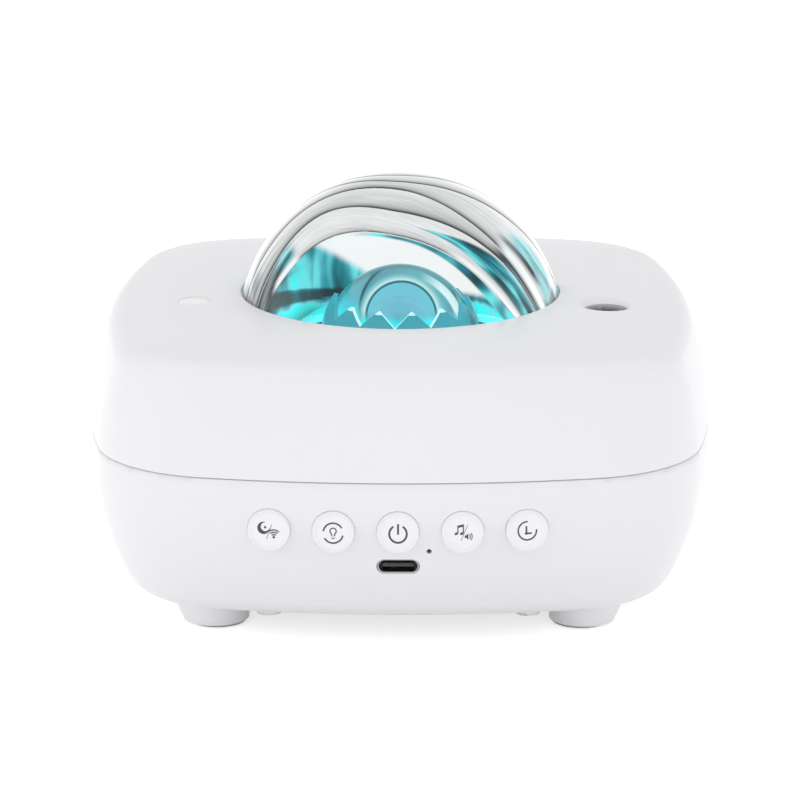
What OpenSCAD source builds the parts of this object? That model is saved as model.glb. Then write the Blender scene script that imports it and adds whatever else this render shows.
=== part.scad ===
// Star night light projector: a bulging rounded-square box on four feet, with a clear rippled
// dome in its top, five keys and a charging socket in its front, and a small speaker below.
// Millimetres. Z is up, the front faces -Y, and the origin is on the table, under the middle.

/* [Body] */
// Width and depth of the body at its widest line
body_w = 140; // [136:1:146]
// Height of the body, from its flat underside to its flat top
body_h = 58; // [57:0.5:62]
// Height of the widest line above the underside
widest_h = 29; // [27:0.5:31]
// Height of the seam between the two shells above the underside
seam_h = 32.9; // [32:0.1:36]
// Radius of the bulge of each side, seen from above
side_bulge_r = 213; // [180:1:260]
// Radius of the upright corners at the widest line
corner_r = 30; // [29:0.5:34]
// Upright curve of the wall below the widest line
lower_wall_r = 54; // [48:1:70]
// Upright curve of the wall above the widest line
upper_wall_r = 72; // [60:1:90]
// Rounding between the wall and the underside
bottom_edge_r = 7; // [5:0.5:8]
// Rounding between the wall and the top
top_edge_r = 5.5; // [4:0.5:7]
// How far inside the widest line the top starts to fall away
crown_start = 27; // [25:0.5:27.5]
// Radius of the soft fall of the top towards its edge
crown_r = 100; // [80:1:130]
// Wall of the moulded shells
shell_wall = 2.4; // [2:0.1:2.6]
// Thin line left open between the shells
seam_gap = 0.3; // [0.2:0.05:0.5]
// Height of the tongue that locates the upper shell
tongue_h = 2; // [1.5:0.1:3]
// Slack round the tongue, and between parts that are only located
locate_gap = 0.2; // [0.1:0.05:0.3]

/* [Feet] */
// Height of the body's underside above the table
foot_h = 7.2; // [6.5:0.1:9]
// Radius of a foot where it meets the table
foot_r = 7; // [6.6:0.1:7.6]
// Distance of each foot's middle inside the widest line
foot_in = 30; // [28:0.5:31]
// Outward lean of a foot's axis
foot_lean = 14; // [8:1:16]
// Growth of a foot's radius for each millimetre of height
foot_growth = 0.18; // [0.1:0.01:0.2]
// Radius of the rubber pad
pad_r = 6.2; // [5.8:0.1:6.4]
// Thickness of the rubber pad
pad_t = 1.4; // [1.2:0.1:1.6]
// How much of the pad shows below the foot
pad_proud = 0.8; // [0.5:0.1:1]

/* [Dome] */
// Outer radius of the clear dome
dome_r = 37; // [36.5:0.1:37.5]
// Depth of the dome's centre below the top
dome_sink = 10; // [9.5:0.1:10.5]
// Wall of the dome
dome_wall = 2.4; // [1.8:0.1:2.6]
// Ring of air between the dome and the edge of its opening
dome_gap = 0.4; // [0.3:0.05:0.6]
// Width of the dome's flange, outside its skirt
flange_w = 4; // [3.5:0.1:4.4]
// Thickness of the dome's flange
flange_t = 2; // [1.6:0.1:2.4]
// Length of the dome's straight skirt
skirt_h = 3.5; // [3.2:0.1:4]
// Thickness of the ring that holds the dome
ring_t = 1.7; // [1.4:0.1:1.8]
// Distance of the ring's screws outside the flange
ring_screw_out = 4; // [3.6:0.1:4.4]
// Width of the soft edge round the dome's opening
opening_edge = 0.3; // [0.2:0.05:0.5]

/* [Keys] */
// Number of keys
key_count = 5; // [5:1:5]
// Distance between neighbouring keys
key_pitch = 13.7; // [13.2:0.1:14]
// Height of the keys above the underside
key_h = 22.3; // [21.8:0.1:23]
// Radius of a key's cap
key_r = 4.4; // [4.2:0.1:4.6]
// Air round a cap in its hole
key_gap = 0.2; // [0.15:0.05:0.3]
// How far a cap stands out of the wall
key_proud = 0.9; // [0.7:0.1:1.2]
// Depth of the finger dish in a cap
key_dish = 0.35; // [0.2:0.05:0.5]
// Travel of a key, with the same air behind its flange
key_travel = 0.5; // [0.3:0.05:0.6]
// Air between a cap's flange and its guide collar
key_stop_gap = 0.3; // [0.2:0.05:0.4]
// Radius of a switch's stem
stem_r = 1.6; // [1.4:0.1:1.8]
// Length of a stem in front of its switch
stem_l = 2; // [1.6:0.1:2.4]
// Side of a switch's square case
switch_w = 6.2; // [5.8:0.1:6.4]
// Depth of a switch's case
switch_d = 3.5; // [3.2:0.1:4]

/* [Front openings] */
// Height of the charging socket's middle above the underside
socket_h = 14; // [13.6:0.1:14.2]
// Width of the socket's metal shell
socket_w = 8.94; // [8.6:0.01:9.2]
// Thickness of the socket across its flats
socket_t = 3.2; // [3:0.01:3.3]
// Depth of the socket
socket_l = 9.6; // [9:0.1:10.5]
// Sheet of the socket's shell
socket_sheet = 0.3; // [0.2:0.05:0.4]
// Air round the socket in the wall
socket_gap = 0.15; // [0.1:0.05:0.2]
// Place of the microphone's hole across the front
mic_x = 6.6; // [6.5:0.1:7]
// Height of the microphone's hole above the underside
mic_h = 17.6; // [17.4:0.1:17.8]
// Radius of the microphone's hole
mic_hole_r = 0.55; // [0.4:0.05:0.7]

/* [Star and moon ports] */
// Direction of the star port from the middle, from +X
star_dir = -16.5; // [-18:0.5:-15]
// Radius of the star port's hole
star_port_r = 4.85; // [4.5:0.05:5.2]
// Width of the soft bevel round the star port
star_bevel = 1.15; // [0.8:0.05:1.3]
// Direction of the moon port from the middle, from +X
moon_dir = 192.8; // [191:0.1:195]
// Distance of the moon port's middle outside the dome
moon_out = 10.4; // [10.4:0.1:11.4]
// Radius of the moon port's hole
moon_port_r = 3.6; // [3.2:0.1:3.8]
// Width of the soft bevel round the moon port
moon_bevel = 0.4; // [0.3:0.1:0.8]

/* [Gears and rotor] */
// Size of the teeth: pitch circle diameter for each tooth
gear_module = 1.2; // [1.19:0.005:1.2]
// Teeth on the ring gear round the ripple disc
ring_teeth = 60; // [60:1:60]
// Teeth on the motor's pinion
pinion_teeth = 10; // [10:1:10]
// Teeth on the star grating's gear
grating_teeth = 20; // [20:1:20]
// Width of the gears' faces
gear_face = 3; // [2.6:0.1:3.2]
// Height of the gears' undersides above the chassis
gear_lift = 8; // [7.8:0.1:8.4]
// Radius of the rotor's axle and of the motor's shaft
axle_r = 1.5; // [1.4:0.05:1.7]
// Running clearance on an axle or a sleeve, on the radius
run_gap = 0.05; // [0.02:0.01:0.08]
// Air above and below what turns
end_gap = 0.3; // [0.2:0.05:0.4]
// Radius of the ripple disc
disc_r = 31.5; // [30.5:0.1:32]
// Thickness of the ripple disc
disc_t = 2; // [1.6:0.1:2.2]
// Outer radius of the bell lens in the middle of the rotor
bell_r = 17; // [16:0.1:18]
// Height of the bell lens
bell_h = 24.3; // [23:0.1:25.5]
// Radius of the hollow in the bell lens
bell_bore_r = 7.4; // [6.5:0.1:8]
// Thickness of the bell lens over its hollow
bell_top_t = 8.6; // [7:0.1:9.5]
// Width of the zigzag crown round the bell lens
crown_w = 0.9; // [0.8:0.1:1.3]
// Height of the zigzag crown to its tips
crown_h = 17.3; // [16:0.1:18]
// Depth of the notches in the crown
crown_notch = 3.6; // [2:0.1:4]
// Number of tips on the crown
crown_tips = 13; // [8:1:14]
// Direction of the crown's first notch, from +X
notch_dir = 17; // [0:1:45]

/* [Inside] */
// Depth of the chassis plate's underside below the top
chassis_drop = 31.2; // [31:0.1:31.8]
// Thickness of the chassis plate
chassis_t = 2; // [1.8:0.1:2.2]
// Radius of the chassis plate
chassis_r = 40; // [38:0.5:41]
// Thickness of the circuit boards
board_t = 1.6; // [1.4:0.1:1.7]
// Radius of the motor's can
motor_r = 12; // [11:0.1:12.5]
// Height of the motor's can
motor_h = 17; // [15:0.5:17.5]
// Width of the speaker's square flange
speaker_w = 44; // [42:0.5:46]
// Air between the speaker's magnet and the heat sink
speaker_air = 1.5; // [1.2:0.1:3]
// Place of the speaker behind the middle
speaker_y = 6; // [4:0.5:7]
// Radius of the holes in the speaker's grille
grille_hole_r = 1.1; // [0.8:0.05:1.3]

/* [Hidden] */
$fa = 3;
$fs = 0.5;

shell_white = [0.93, 0.93, 0.94];
board_green = [0.1, 0.35, 0.22];
steel = [0.62, 0.63, 0.65];
nylon = [0.9, 0.89, 0.85];
clear_cyan = [0.6, 0.95, 0.97, 0.5];
clear_glass = [0.85, 0.95, 0.97, 0.4];

// Heights above the table
base_z = foot_h;
floor_z = base_z + shell_wall;
top_z = base_z + body_h;
ceiling_z = top_z - shell_wall;
seam_z = base_z + seam_h;
chassis_z = top_z - chassis_drop;
deck_z = chassis_z + chassis_t;
dome_z = top_z - dome_sink;
skirt_z = dome_z - skirt_h;

// Plan of the body: each side is an arc about a far centre, each corner a pie about a near one
half_w = body_w / 2;
side_far = side_bulge_r - half_w;
corner_reach = side_bulge_r - corner_r;
corner_at = (sqrt(2 * corner_reach * corner_reach - side_far * side_far) - side_far) / 2;
side_angle = atan2(corner_at, corner_at + side_far);

// Upright outline of the wall: x is measured outwards from the widest line, y up from the underside
lower_centre = [-lower_wall_r, widest_h];
upper_centre = [-upper_wall_r, widest_h];
crown_centre = [-crown_start, body_h - crown_r];
bottom_edge = [
    sqrt(pow(lower_wall_r - bottom_edge_r, 2) - pow(widest_h - bottom_edge_r, 2)) - lower_wall_r,
    bottom_edge_r
];
top_edge = outer_meeting(upper_centre, upper_wall_r - top_edge_r, crown_centre, crown_r - top_edge_r);
bottom_turn = angle_from(lower_centre, bottom_edge);
upper_turn = angle_from(upper_centre, top_edge);
crown_turn = angle_from(crown_centre, top_edge);

// Places that follow the width of the body and the radius of the dome
foot_at = half_w - foot_in;
chassis_post_x = foot_at - 10;
chassis_post_y = foot_at + 8;
flange_r = dome_r + flange_w;
ring_screw_at = flange_r + ring_screw_out;
moon_at = dome_r + moon_out;
moon_x = moon_at * cos(moon_dir);
moon_y = moon_at * sin(moon_dir);

// Parts of the shells
tongue_skin = shell_wall / 2;
plate_end = -half_w - 1;
boss_r = 4;
well_r = 3.1;
well_boss_r = well_r + 1.3;
well_web = 2.4;
boss_meet_z = seam_z - 10;
well_top_z = boss_meet_z - well_web;
housing_screw_r = 1.5;
housing_screw_l = 18;
pilot_slack = 0.3;
small_screw_r = 0.9;
small_head_r = 1.9;
small_head_h = 1.5;
small_boss_r = 2.7;
post_r = 3.2;
speaker_plate_t = 1.2;
speaker_screw_skin = 0.8;
speaker_screw_l = speaker_plate_t + shell_wall - speaker_screw_skin - 0.1;
dome_collar_air = 0.6;
dome_collar_wall = 3;
spigot_h = 6;

// Keys and what is behind them
key_z = base_z + key_h;
key_span = (key_count - 1) / 2 * key_pitch;
key_flange_r = key_r + 1;
key_flange_t = 0.8;
collar_wall = 1.6;
collar_y = wall_y(key_span + key_flange_r, key_h - key_flange_r, shell_wall) + locate_gap;
flange_front_y = collar_y + key_stop_gap;
stem_back_y = flange_front_y + key_flange_t;
switch_front_y = stem_back_y + stem_l;
key_board_y = switch_front_y + switch_d;
key_board_w = 78;
key_board_low = 16;
key_board_high = 29;
key_board_screw_x = 36;
front_cut_l = key_board_y - plate_end;
stem_in_switch = 0.8;
wall_tilt = asin((widest_h - key_h) / lower_wall_r);

// Socket, main board and microphone
socket_z = base_z + socket_h;
socket_recess = 0.3;
socket_y = wall_y(0, socket_h, 0) + socket_recess;
main_board_top = socket_z - socket_t / 2;
main_board_z = main_board_top - board_t;
main_board_air = 2.6;
main_board_w = 2 * (foot_at - well_boss_r - main_board_air);
main_board_front = wall_y(main_board_w / 2, main_board_z - base_z, shell_wall) + locate_gap;
main_board_back = speaker_y - speaker_w / 2 - 10;
main_board_d = main_board_back - main_board_front;
main_tab_w = 16;
main_tab_front = wall_y(main_tab_w / 2, main_board_z - base_z, shell_wall) + locate_gap;
main_screw_in = 5;
main_screw_x = main_board_w / 2 - main_screw_in;
main_screw_ys = [main_board_front + main_screw_in, main_board_back - main_screw_in];
mic_z = base_z + mic_h;
mic_r = 1.9;
mic_l = 3.3;

// Gear train
ring_pitch_r = gear_module * ring_teeth / 2;
pinion_pitch_r = gear_module * pinion_teeth / 2;
grating_pitch_r = gear_module * grating_teeth / 2;
gear_z = deck_z + gear_lift;
motor_dir = 90;
motor_y = ring_pitch_r + pinion_pitch_r;
star_at = ring_pitch_r + grating_pitch_r;
star_x = star_at * cos(star_dir);
star_y = star_at * sin(star_dir);
disc_z = gear_z + 0.4;
rotor_top = disc_z + disc_t;
shaft_depth = 5;
hub_r = 4;
hub_low = gear_z - 1;
hub_high = rotor_top + 1.6;
crown_air = 0.3;
barrel_foot_r = 8;
barrel_r = 6;
barrel_bore_r = 3.5;
sleeve_wall = 2;
sleeve_top = gear_z + gear_face + 1.1;
barrel_top = sleeve_top - 0.6;
grating_t = 0.8;
motor_boss_r = 4;
motor_boss_h = 2.5;
motor_ear_x = 17.5;
led_board_r = 15.5;
led_at = 8;
sink_w = 36;
sink_plate = 3;
sink_fin = 3;

// Speaker, up to the air under the heat sink
speaker_h = chassis_z - sink_plate - sink_fin - speaker_air - floor_z;
magnet_h = 0.45 * speaker_h;
basket_h = speaker_h - magnet_h;
magnet_r = 0.27 * speaker_w;
cone_r = 0.43 * speaker_w;

// Ports in the top
window_r = star_port_r + 0.95;
window_t = 1.5;
window_drop = 0.2;
seat_wall = 1.5;
seat_h = 3.3;
moon_lens_r = 4.8;
moon_lens_t = 1.8;
moon_holder_l = 10;

function angle_from(centre, point) = atan2(point.y - centre.y, point.x - centre.x);

// Where two circles cross, on the side away from the middle of the body
function outer_meeting(p, p_r, q, q_r) =
    let (gap = norm(q - p), along = (p_r * p_r - q_r * q_r + gap * gap) / (2 * gap))
    let (across = sqrt(p_r * p_r - along * along), u = (q - p) / gap)
    p + along * u + across * [-u.y, u.x];

// Points along an arc, after its first one
function arc(centre, r, from, to, steps) = [
    for (i = [1:steps])
        let (a = from + (to - from) * i / steps)
        centre + r * [cos(a), sin(a)]
];

// The wall from the underside up to a height above the widest line, inset by a thickness
function low_curve(inset, up_to) = concat(
    arc(bottom_edge, bottom_edge_r - inset, -90, bottom_turn, 8),
    arc(lower_centre, lower_wall_r - inset, bottom_turn, 0, 6),
    arc(upper_centre, upper_wall_r - inset, 0, rise_angle(inset, up_to), 1)
);

// The wall from a height above the widest line up to the flat of the top
function high_curve(inset, from) = concat(
    arc(upper_centre, upper_wall_r - inset, 0, rise_angle(inset, from), 1),
    arc(upper_centre, upper_wall_r - inset, rise_angle(inset, from), upper_turn, 5),
    arc(top_edge, top_edge_r - inset, upper_turn, crown_turn, 8),
    arc(crown_centre, crown_r - inset, crown_turn, 90, 4)
);
function rise_angle(inset, height) = asin((height - widest_h) / (upper_wall_r - inset));
function reversed(list) = [for (i = [len(list) - 1:-1:0]) list[i]];
function last(list) = list[len(list) - 1];

// How far inside the widest line the lower wall is at a height, inset by a thickness
function wall_depth(height, inset) =
    lower_wall_r - sqrt(pow(lower_wall_r - inset, 2) - pow(widest_h - height, 2));

// Y of the front wall at a place across it and a height above the underside, inset by a thickness
function wall_y(x, height, inset) =
    side_far - sqrt(pow(side_bulge_r - wall_depth(height, inset), 2) - x * x);

// Sweeps an upright section all round the plan, as eight like pieces cut on the planes between them.
// The points are from the widest line. Each corner's sweep goes half round, past the cut.
module round_plan(section) {
    extra = 1;
    for (turn = [0:90:270], flip = [0, 1]) rotate([0, 0, turn]) mirror([flip, 0, 0]) intersection() {
        translate([0, side_far, 0]) rotate([0, 0, side_angle - 90]) {
            rotate_extrude(angle = side_angle + extra, start = -side_angle - extra)
                translate([side_bulge_r, 0]) polygon(section);
            translate([corner_reach, 0, 0]) rotate_extrude(angle = 180)
                translate([corner_r, 0]) polygon([for (p = section) [max(p.x, -corner_r), p.y]]);
        }
        linear_extrude(2 * body_h) polygon([[0, 0], [body_w, -body_w], [0, -body_w]]);
    }
}

module at_corners(x, y) {
    for (sx = [-1, 1], sy = [-1, 1]) translate([sx * x, sy * y, 0]) children();
}

module tube(outer_r, inner_r, z, h) {
    difference() {
        translate([0, 0, z]) cylinder(r = outer_r, h = h);
        translate([0, 0, z - 1]) cylinder(r = inner_r, h = h + 2);
    }
}

// A round bar or hole along Y
module bar_y(r, x, y, z, l) {
    translate([x, y, z]) rotate([-90, 0, 0]) cylinder(r = r, h = l);
}

// A screw whose shank goes up from z, with its head below
module screw_up(shank_r, head_r, head_h, z, l) {
    translate([0, 0, z - head_h]) cylinder(r = head_r, h = head_h);
    translate([0, 0, z]) cylinder(r = shank_r, h = l);
}

module pill(w, t, y, l) {
    translate([0, y, 0]) rotate([-90, 0, 0]) linear_extrude(l) {
        square([w - t, t], center = true);
        for (s = [-1, 1]) translate([s * (w - t) / 2, 0]) circle(d = t);
    }
}

function key_x(i) = (i - (key_count - 1) / 2) * key_pitch;

module lower_shell() {
    // The outer skin stops half the gap below the seam, and the tongue goes on up inside it
    lip_h = seam_h - seam_gap / 2;
    outer = low_curve(0, lip_h);
    inner = low_curve(shell_wall, lip_h + tongue_h);
    step_x = last(outer).x - tongue_skin - locate_gap;
    section = concat(
        [[plate_end, 0], [bottom_edge.x, 0]], outer,
        [[step_x, lip_h], [step_x, lip_h + tongue_h]], reversed(inner),
        [[bottom_edge.x, shell_wall], [plate_end, shell_wall]]
    );
    color(shell_white) difference() {
        union() {
            translate([0, 0, base_z]) round_plan(section);
            at_corners(foot_at, foot_at)
                translate([0, 0, base_z]) cylinder(r = well_boss_r, h = boss_meet_z - base_z);
            for (x = [-main_screw_x, main_screw_x], y = main_screw_ys) translate([x, y, base_z])
                cylinder(r = small_boss_r, h = main_board_z - base_z);
            for (i = [0:key_count - 1]) key_collar(key_x(i));
            for (s = [-1, 1]) key_board_boss(s * key_board_screw_x);
        }
        at_corners(foot_at, foot_at) {
            translate([0, 0, base_z - 1]) cylinder(r = well_r, h = well_top_z - base_z + 1);
            cylinder(r = housing_screw_r + locate_gap, h = boss_meet_z + 1);
        }
        for (x = [-main_screw_x, main_screw_x], y = main_screw_ys) translate([x, y, floor_z])
            cylinder(r = small_screw_r, h = main_board_z);
        for (i = [0:key_count - 1]) bar_y(key_r + key_gap, key_x(i), plate_end, key_z, front_cut_l);
        for (s = [-1, 1])
            bar_y(small_screw_r, s * key_board_screw_x, key_board_y - 4, key_z, 5);
        translate([0, 0, socket_z])
            pill(socket_w + 2 * socket_gap, socket_t + 2 * socket_gap, plate_end, front_cut_l);
        bar_y(mic_hole_r, mic_x, plate_end, mic_z, front_cut_l);
        speaker_grille();
        translate([0, speaker_y, 0]) speaker_screws_at()
            translate([0, 0, base_z + speaker_screw_skin]) cylinder(r = small_screw_r, h = shell_wall);
    }
}

// Guide collar of one key, from inside the wall to the plane that the key's flange stops at
module key_collar(x) {
    y = wall_y(x, key_h, shell_wall / 2);
    difference() {
        bar_y(key_r + key_gap + collar_wall, x, y - shell_wall, key_z, collar_y - y + shell_wall);
        in_front(x, y);
    }
}

// All that is near a key in front of a plane that leans as the wall does at that key
module in_front(x, y) {
    yaw = asin(x / (side_bulge_r - wall_depth(key_h, 0)));
    reach = 4 * key_r;
    translate([x, y, key_z]) rotate([wall_tilt, 0, yaw])
        translate([-reach / 2, -reach, -reach / 2]) cube(reach);
}

module key_board_boss(x) {
    y = wall_y(x, key_h, shell_wall / 2);
    bar_y(small_boss_r, x, y, key_z, key_board_y - y);
}

module speaker_grille() {
    translate([0, speaker_y, base_z - 1]) {
        cylinder(r = grille_hole_r, h = shell_wall + 2);
        for (ring = [1:3], i = [0:6 * ring - 1]) rotate([0, 0, i * 60 / ring])
            translate([ring * 4.6, 0, 0]) cylinder(r = grille_hole_r, h = shell_wall + 2);
    }
}

module upper_shell() {
    lip_h = seam_h + seam_gap / 2;
    step_h = seam_h + tongue_h + locate_gap;
    outer = high_curve(0, lip_h);
    inner = high_curve(shell_wall, step_h);
    step_x = outer[0].x - tongue_skin;
    section = concat(
        [[step_x, lip_h]], outer,
        [[plate_end, body_h], [plate_end, body_h - shell_wall]],
        reversed(inner), [[step_x, step_h]]
    );
    collar_r = dome_r + dome_collar_air;
    flange_top = skirt_z + flange_t;
    opening_r = sqrt(pow(dome_r + dome_gap, 2) - pow(dome_sink, 2));
    color(shell_white) difference() {
        union() {
            translate([0, 0, base_z]) round_plan(section);
            tube(collar_r + dome_collar_wall, collar_r, flange_top, top_z - shell_wall / 2 - flange_top);
            at_corners(foot_at, foot_at)
                boss_down(boss_r, boss_meet_z + locate_gap);
            ring_screws_at() boss_down(small_boss_r, skirt_z + locate_gap / 2);
            at_corners(chassis_post_x, chassis_post_y) boss_down(post_r, deck_z);
            translate([star_x, star_y, 0]) port_seat(window_r);
            translate([moon_x, moon_y, 0]) port_seat(moon_lens_r);
        }
        translate([0, 0, dome_z]) sphere(r = dome_r + dome_gap);
        translate([0, 0, top_z - opening_edge])
            cylinder(r1 = opening_r, r2 = opening_r + 2 * opening_edge, h = 2 * opening_edge);
        at_corners(foot_at, foot_at) pilot(housing_screw_r - pilot_slack / 2, boss_meet_z, housing_screw_l);
        ring_screws_at() pilot(small_screw_r, skirt_z, 8);
        at_corners(chassis_post_x, chassis_post_y) pilot(small_screw_r, deck_z, 9);
        translate([star_x, star_y, 0]) port(star_port_r, star_bevel, window_r, window_drop);
        translate([moon_x, moon_y, 0]) port(moon_port_r, moon_bevel, moon_lens_r, window_drop);
    }
}

// A round boss that hangs from the top plate down to z
module boss_down(r, z) {
    translate([0, 0, z]) cylinder(r = r, h = top_z - shell_wall / 2 - z);
}

// Wall of the seat for a lens of one radius, under a port
module port_seat(r) {
    boss_down(r + locate_gap / 2 + seat_wall, ceiling_z - seat_h);
}

module pilot(r, z, depth) {
    translate([0, 0, z - 1]) cylinder(r = r, h = depth + 1);
}

// A bevelled hole through the top, with a wider seat for its lens below
module port(r, bevel, seat_r, drop) {
    translate([0, 0, ceiling_z - seat_h - 1]) cylinder(r = r, h = shell_wall + seat_h + 2);
    translate([0, 0, top_z - bevel]) cylinder(r1 = r, r2 = r + 2 * bevel, h = 2 * bevel);
    translate([0, 0, ceiling_z - seat_h - 1])
        cylinder(r = seat_r + locate_gap / 2, h = seat_h + 1 - drop);
}

module dome() {
    color(clear_glass) {
        difference() {
            translate([0, 0, dome_z]) sphere(r = dome_r);
            translate([0, 0, dome_z]) sphere(r = dome_r - dome_wall);
            translate([0, 0, dome_z - 2 * dome_r]) cylinder(r = 2 * dome_r, h = 2 * dome_r);
        }
        tube(dome_r, dome_r - dome_wall, skirt_z, skirt_h);
        tube(flange_r, dome_r - dome_wall, skirt_z, flange_t);
    }
}

module ring_screws_at() {
    for (turn = [0:90:270]) rotate([0, 0, turn]) translate([ring_screw_at, 0, 0]) children();
}

module dome_ring() {
    ear_r = 3.6;
    color(nylon) difference() {
        translate([0, 0, skirt_z - ring_t]) union() {
            cylinder(r = flange_r + 1.6, h = ring_t);
            ring_screws_at() cylinder(r = ear_r, h = ring_t);
        }
        translate([0, 0, skirt_z - ring_t - 1]) {
            cylinder(r = dome_r - dome_wall + 0.6, h = ring_t + 2);
            ring_screws_at() cylinder(r = small_screw_r + locate_gap, h = ring_t + 2);
        }
    }
}

// A leaning cone, cut flat below by the pad and above by the body, with a spigot up the screw's well
module foot(sx, sy) {
    color([0.9, 0.89, 0.9]) translate([sx * foot_at, sy * foot_at, 0]) difference() {
        union() {
            intersection() {
                rotate([0, 0, atan2(sy, sx)]) rotate([0, foot_lean, 0]) translate([0, 0, -foot_h])
                    cylinder(r1 = foot_r - foot_h * foot_growth, r2 = foot_r + 2 * foot_h * foot_growth,
                        h = 3 * foot_h);
                translate([0, 0, pad_proud]) cylinder(r = 3 * foot_r, h = base_z - pad_proud);
            }
            translate([0, 0, base_z - 0.5]) cylinder(r = well_r - locate_gap / 2, h = spigot_h + 0.5);
        }
        translate([0, 0, -1]) cylinder(r = pad_r + locate_gap / 2, h = pad_t + 1);
    }
}

module foot_front_left() foot(-1, -1);
module foot_front_right() foot(1, -1);
module foot_rear_left() foot(-1, 1);
module foot_rear_right() foot(1, 1);

module pad(sx, sy) {
    color([0.75, 0.75, 0.77]) translate([sx * foot_at, sy * foot_at, 0]) cylinder(r = pad_r, h = pad_t);
}

module pad_front_left() pad(-1, -1);
module pad_front_right() pad(1, -1);
module pad_rear_left() pad(-1, 1);
module pad_rear_right() pad(1, 1);

// A cap whose face follows the slope of the wall, with a shallow dish and a flange behind the wall
module key_cap(i) {
    x = key_x(i);
    face_y = wall_y(x, key_h, 0) - key_proud;
    yaw = asin(x / (side_bulge_r - wall_depth(key_h, 0)));
    dish_r = key_r - 0.6;
    dish_ball_r = (dish_r * dish_r + key_dish * key_dish) / (2 * key_dish);
    color(shell_white) {
        difference() {
            bar_y(key_r, x, face_y - 2, key_z, flange_front_y + key_flange_t / 2 + 2 - face_y);
            in_front(x, face_y);
            translate([x, face_y, key_z]) rotate([wall_tilt, 0, yaw])
                translate([0, key_dish - dish_ball_r, 0]) sphere(r = dish_ball_r);
        }
        bar_y(key_flange_r, x, flange_front_y, key_z, key_flange_t);
    }
}

module key_star() key_cap(0);
module key_lamp() key_cap(1);
module key_power() key_cap(2);
module key_sound() key_cap(3);
module key_timer() key_cap(4);

module stem(i) {
    color([0.2, 0.2, 0.22]) bar_y(stem_r, key_x(i), stem_back_y, key_z, stem_l + stem_in_switch);
}

module stem_star() stem(0);
module stem_lamp() stem(1);
module stem_power() stem(2);
module stem_sound() stem(3);
module stem_timer() stem(4);

module switches() {
    stem_room = stem_in_switch + key_travel + 0.2;
    color([0.25, 0.25, 0.27]) for (i = [0:key_count - 1]) difference() {
        translate([key_x(i) - switch_w / 2, switch_front_y, key_z - switch_w / 2])
            cube([switch_w, switch_d, switch_w]);
        bar_y(stem_r + run_gap, key_x(i), switch_front_y - 1, key_z, stem_room + 1);
    }
}

module key_board() {
    color(board_green) difference() {
        translate([-key_board_w / 2, key_board_y, base_z + key_board_low])
            cube([key_board_w, board_t, key_board_high - key_board_low]);
        for (s = [-1, 1])
            bar_y(small_screw_r + locate_gap, s * key_board_screw_x, key_board_y - 1, key_z, board_t + 2);
    }
}

module microphone() {
    color(steel) bar_y(mic_r, mic_x, key_board_y - mic_l, mic_z, mic_l);
}

module main_board() {
    color(board_green) difference() {
        translate([0, 0, main_board_z]) union() {
            translate([-main_board_w / 2, main_board_front, 0])
                cube([main_board_w, main_board_back - main_board_front, board_t]);
            translate([-main_tab_w / 2, main_tab_front, 0])
                cube([main_tab_w, main_board_front - main_tab_front + 1, board_t]);
        }
        for (x = [-main_screw_x, main_screw_x], y = main_screw_ys) translate([x, y, 0])
            cylinder(r = small_screw_r + locate_gap, h = socket_z);
    }
}

module charge_socket() {
    back = 1.2;
    color(steel) translate([0, 0, socket_z]) difference() {
        pill(socket_w, socket_t, socket_y, socket_l);
        pill(socket_w - 2 * socket_sheet, socket_t - 2 * socket_sheet, socket_y - 1, socket_l - back + 1);
    }
}

module charge_tongue() {
    back = 1.2;
    tongue_t = 0.7;
    tongue_recess = 0.8;
    color([0.15, 0.15, 0.16]) translate([-3.3, socket_y + tongue_recess, socket_z - tongue_t / 2])
        cube([6.6, socket_l - back - tongue_recess, tongue_t]);
}

// Packages on the main board: the controller, the amplifier and two small ones
module chips() {
    color([0.12, 0.12, 0.13]) {
        chip([0.05, 0], [0.11, 0.2], 0.6);
        chip([0.32, 0.17], [0.08, 0.17], 0.75);
        chip([0.21, -0.24], [0.05, 0.09], 0.65);
        chip([-0.09, 0.29], [0.06, 0.09], 0.65);
    }
}

// A place on the main board, by shares of its width and depth from its middle
module on_board(at) {
    translate([at.x * main_board_w, main_board_front + (0.5 + at.y) * main_board_d, main_board_top])
        children();
}

// A block on the main board, by shares of its width and depth and of its thickness
module chip(at, size, h) {
    w = size.x * main_board_w;
    d = size.y * main_board_d;
    on_board(at) translate([-w / 2, -d / 2, 0]) cube([w, d, h * board_t]);
}

module capacitors() {
    color([0.3, 0.32, 0.4]) for (at = [[0.36, -0.09, 0.045], [0.25, -0.05, 0.038], [-0.13, 0, 0.038]])
        on_board(at) cylinder(r = at.z * main_board_w, h = 2.4 * at.z * main_board_w);
}

// The wireless sound module: a small board with a metal can
module radio_module() {
    at = [-0.31, 0];
    module_t = 0.5;
    color(steel) {
        chip(at, [0.18, 0.45], module_t);
        translate([0, 0, module_t * board_t]) chip(at, [0.15, 0.3], 1);
    }
}

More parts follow.
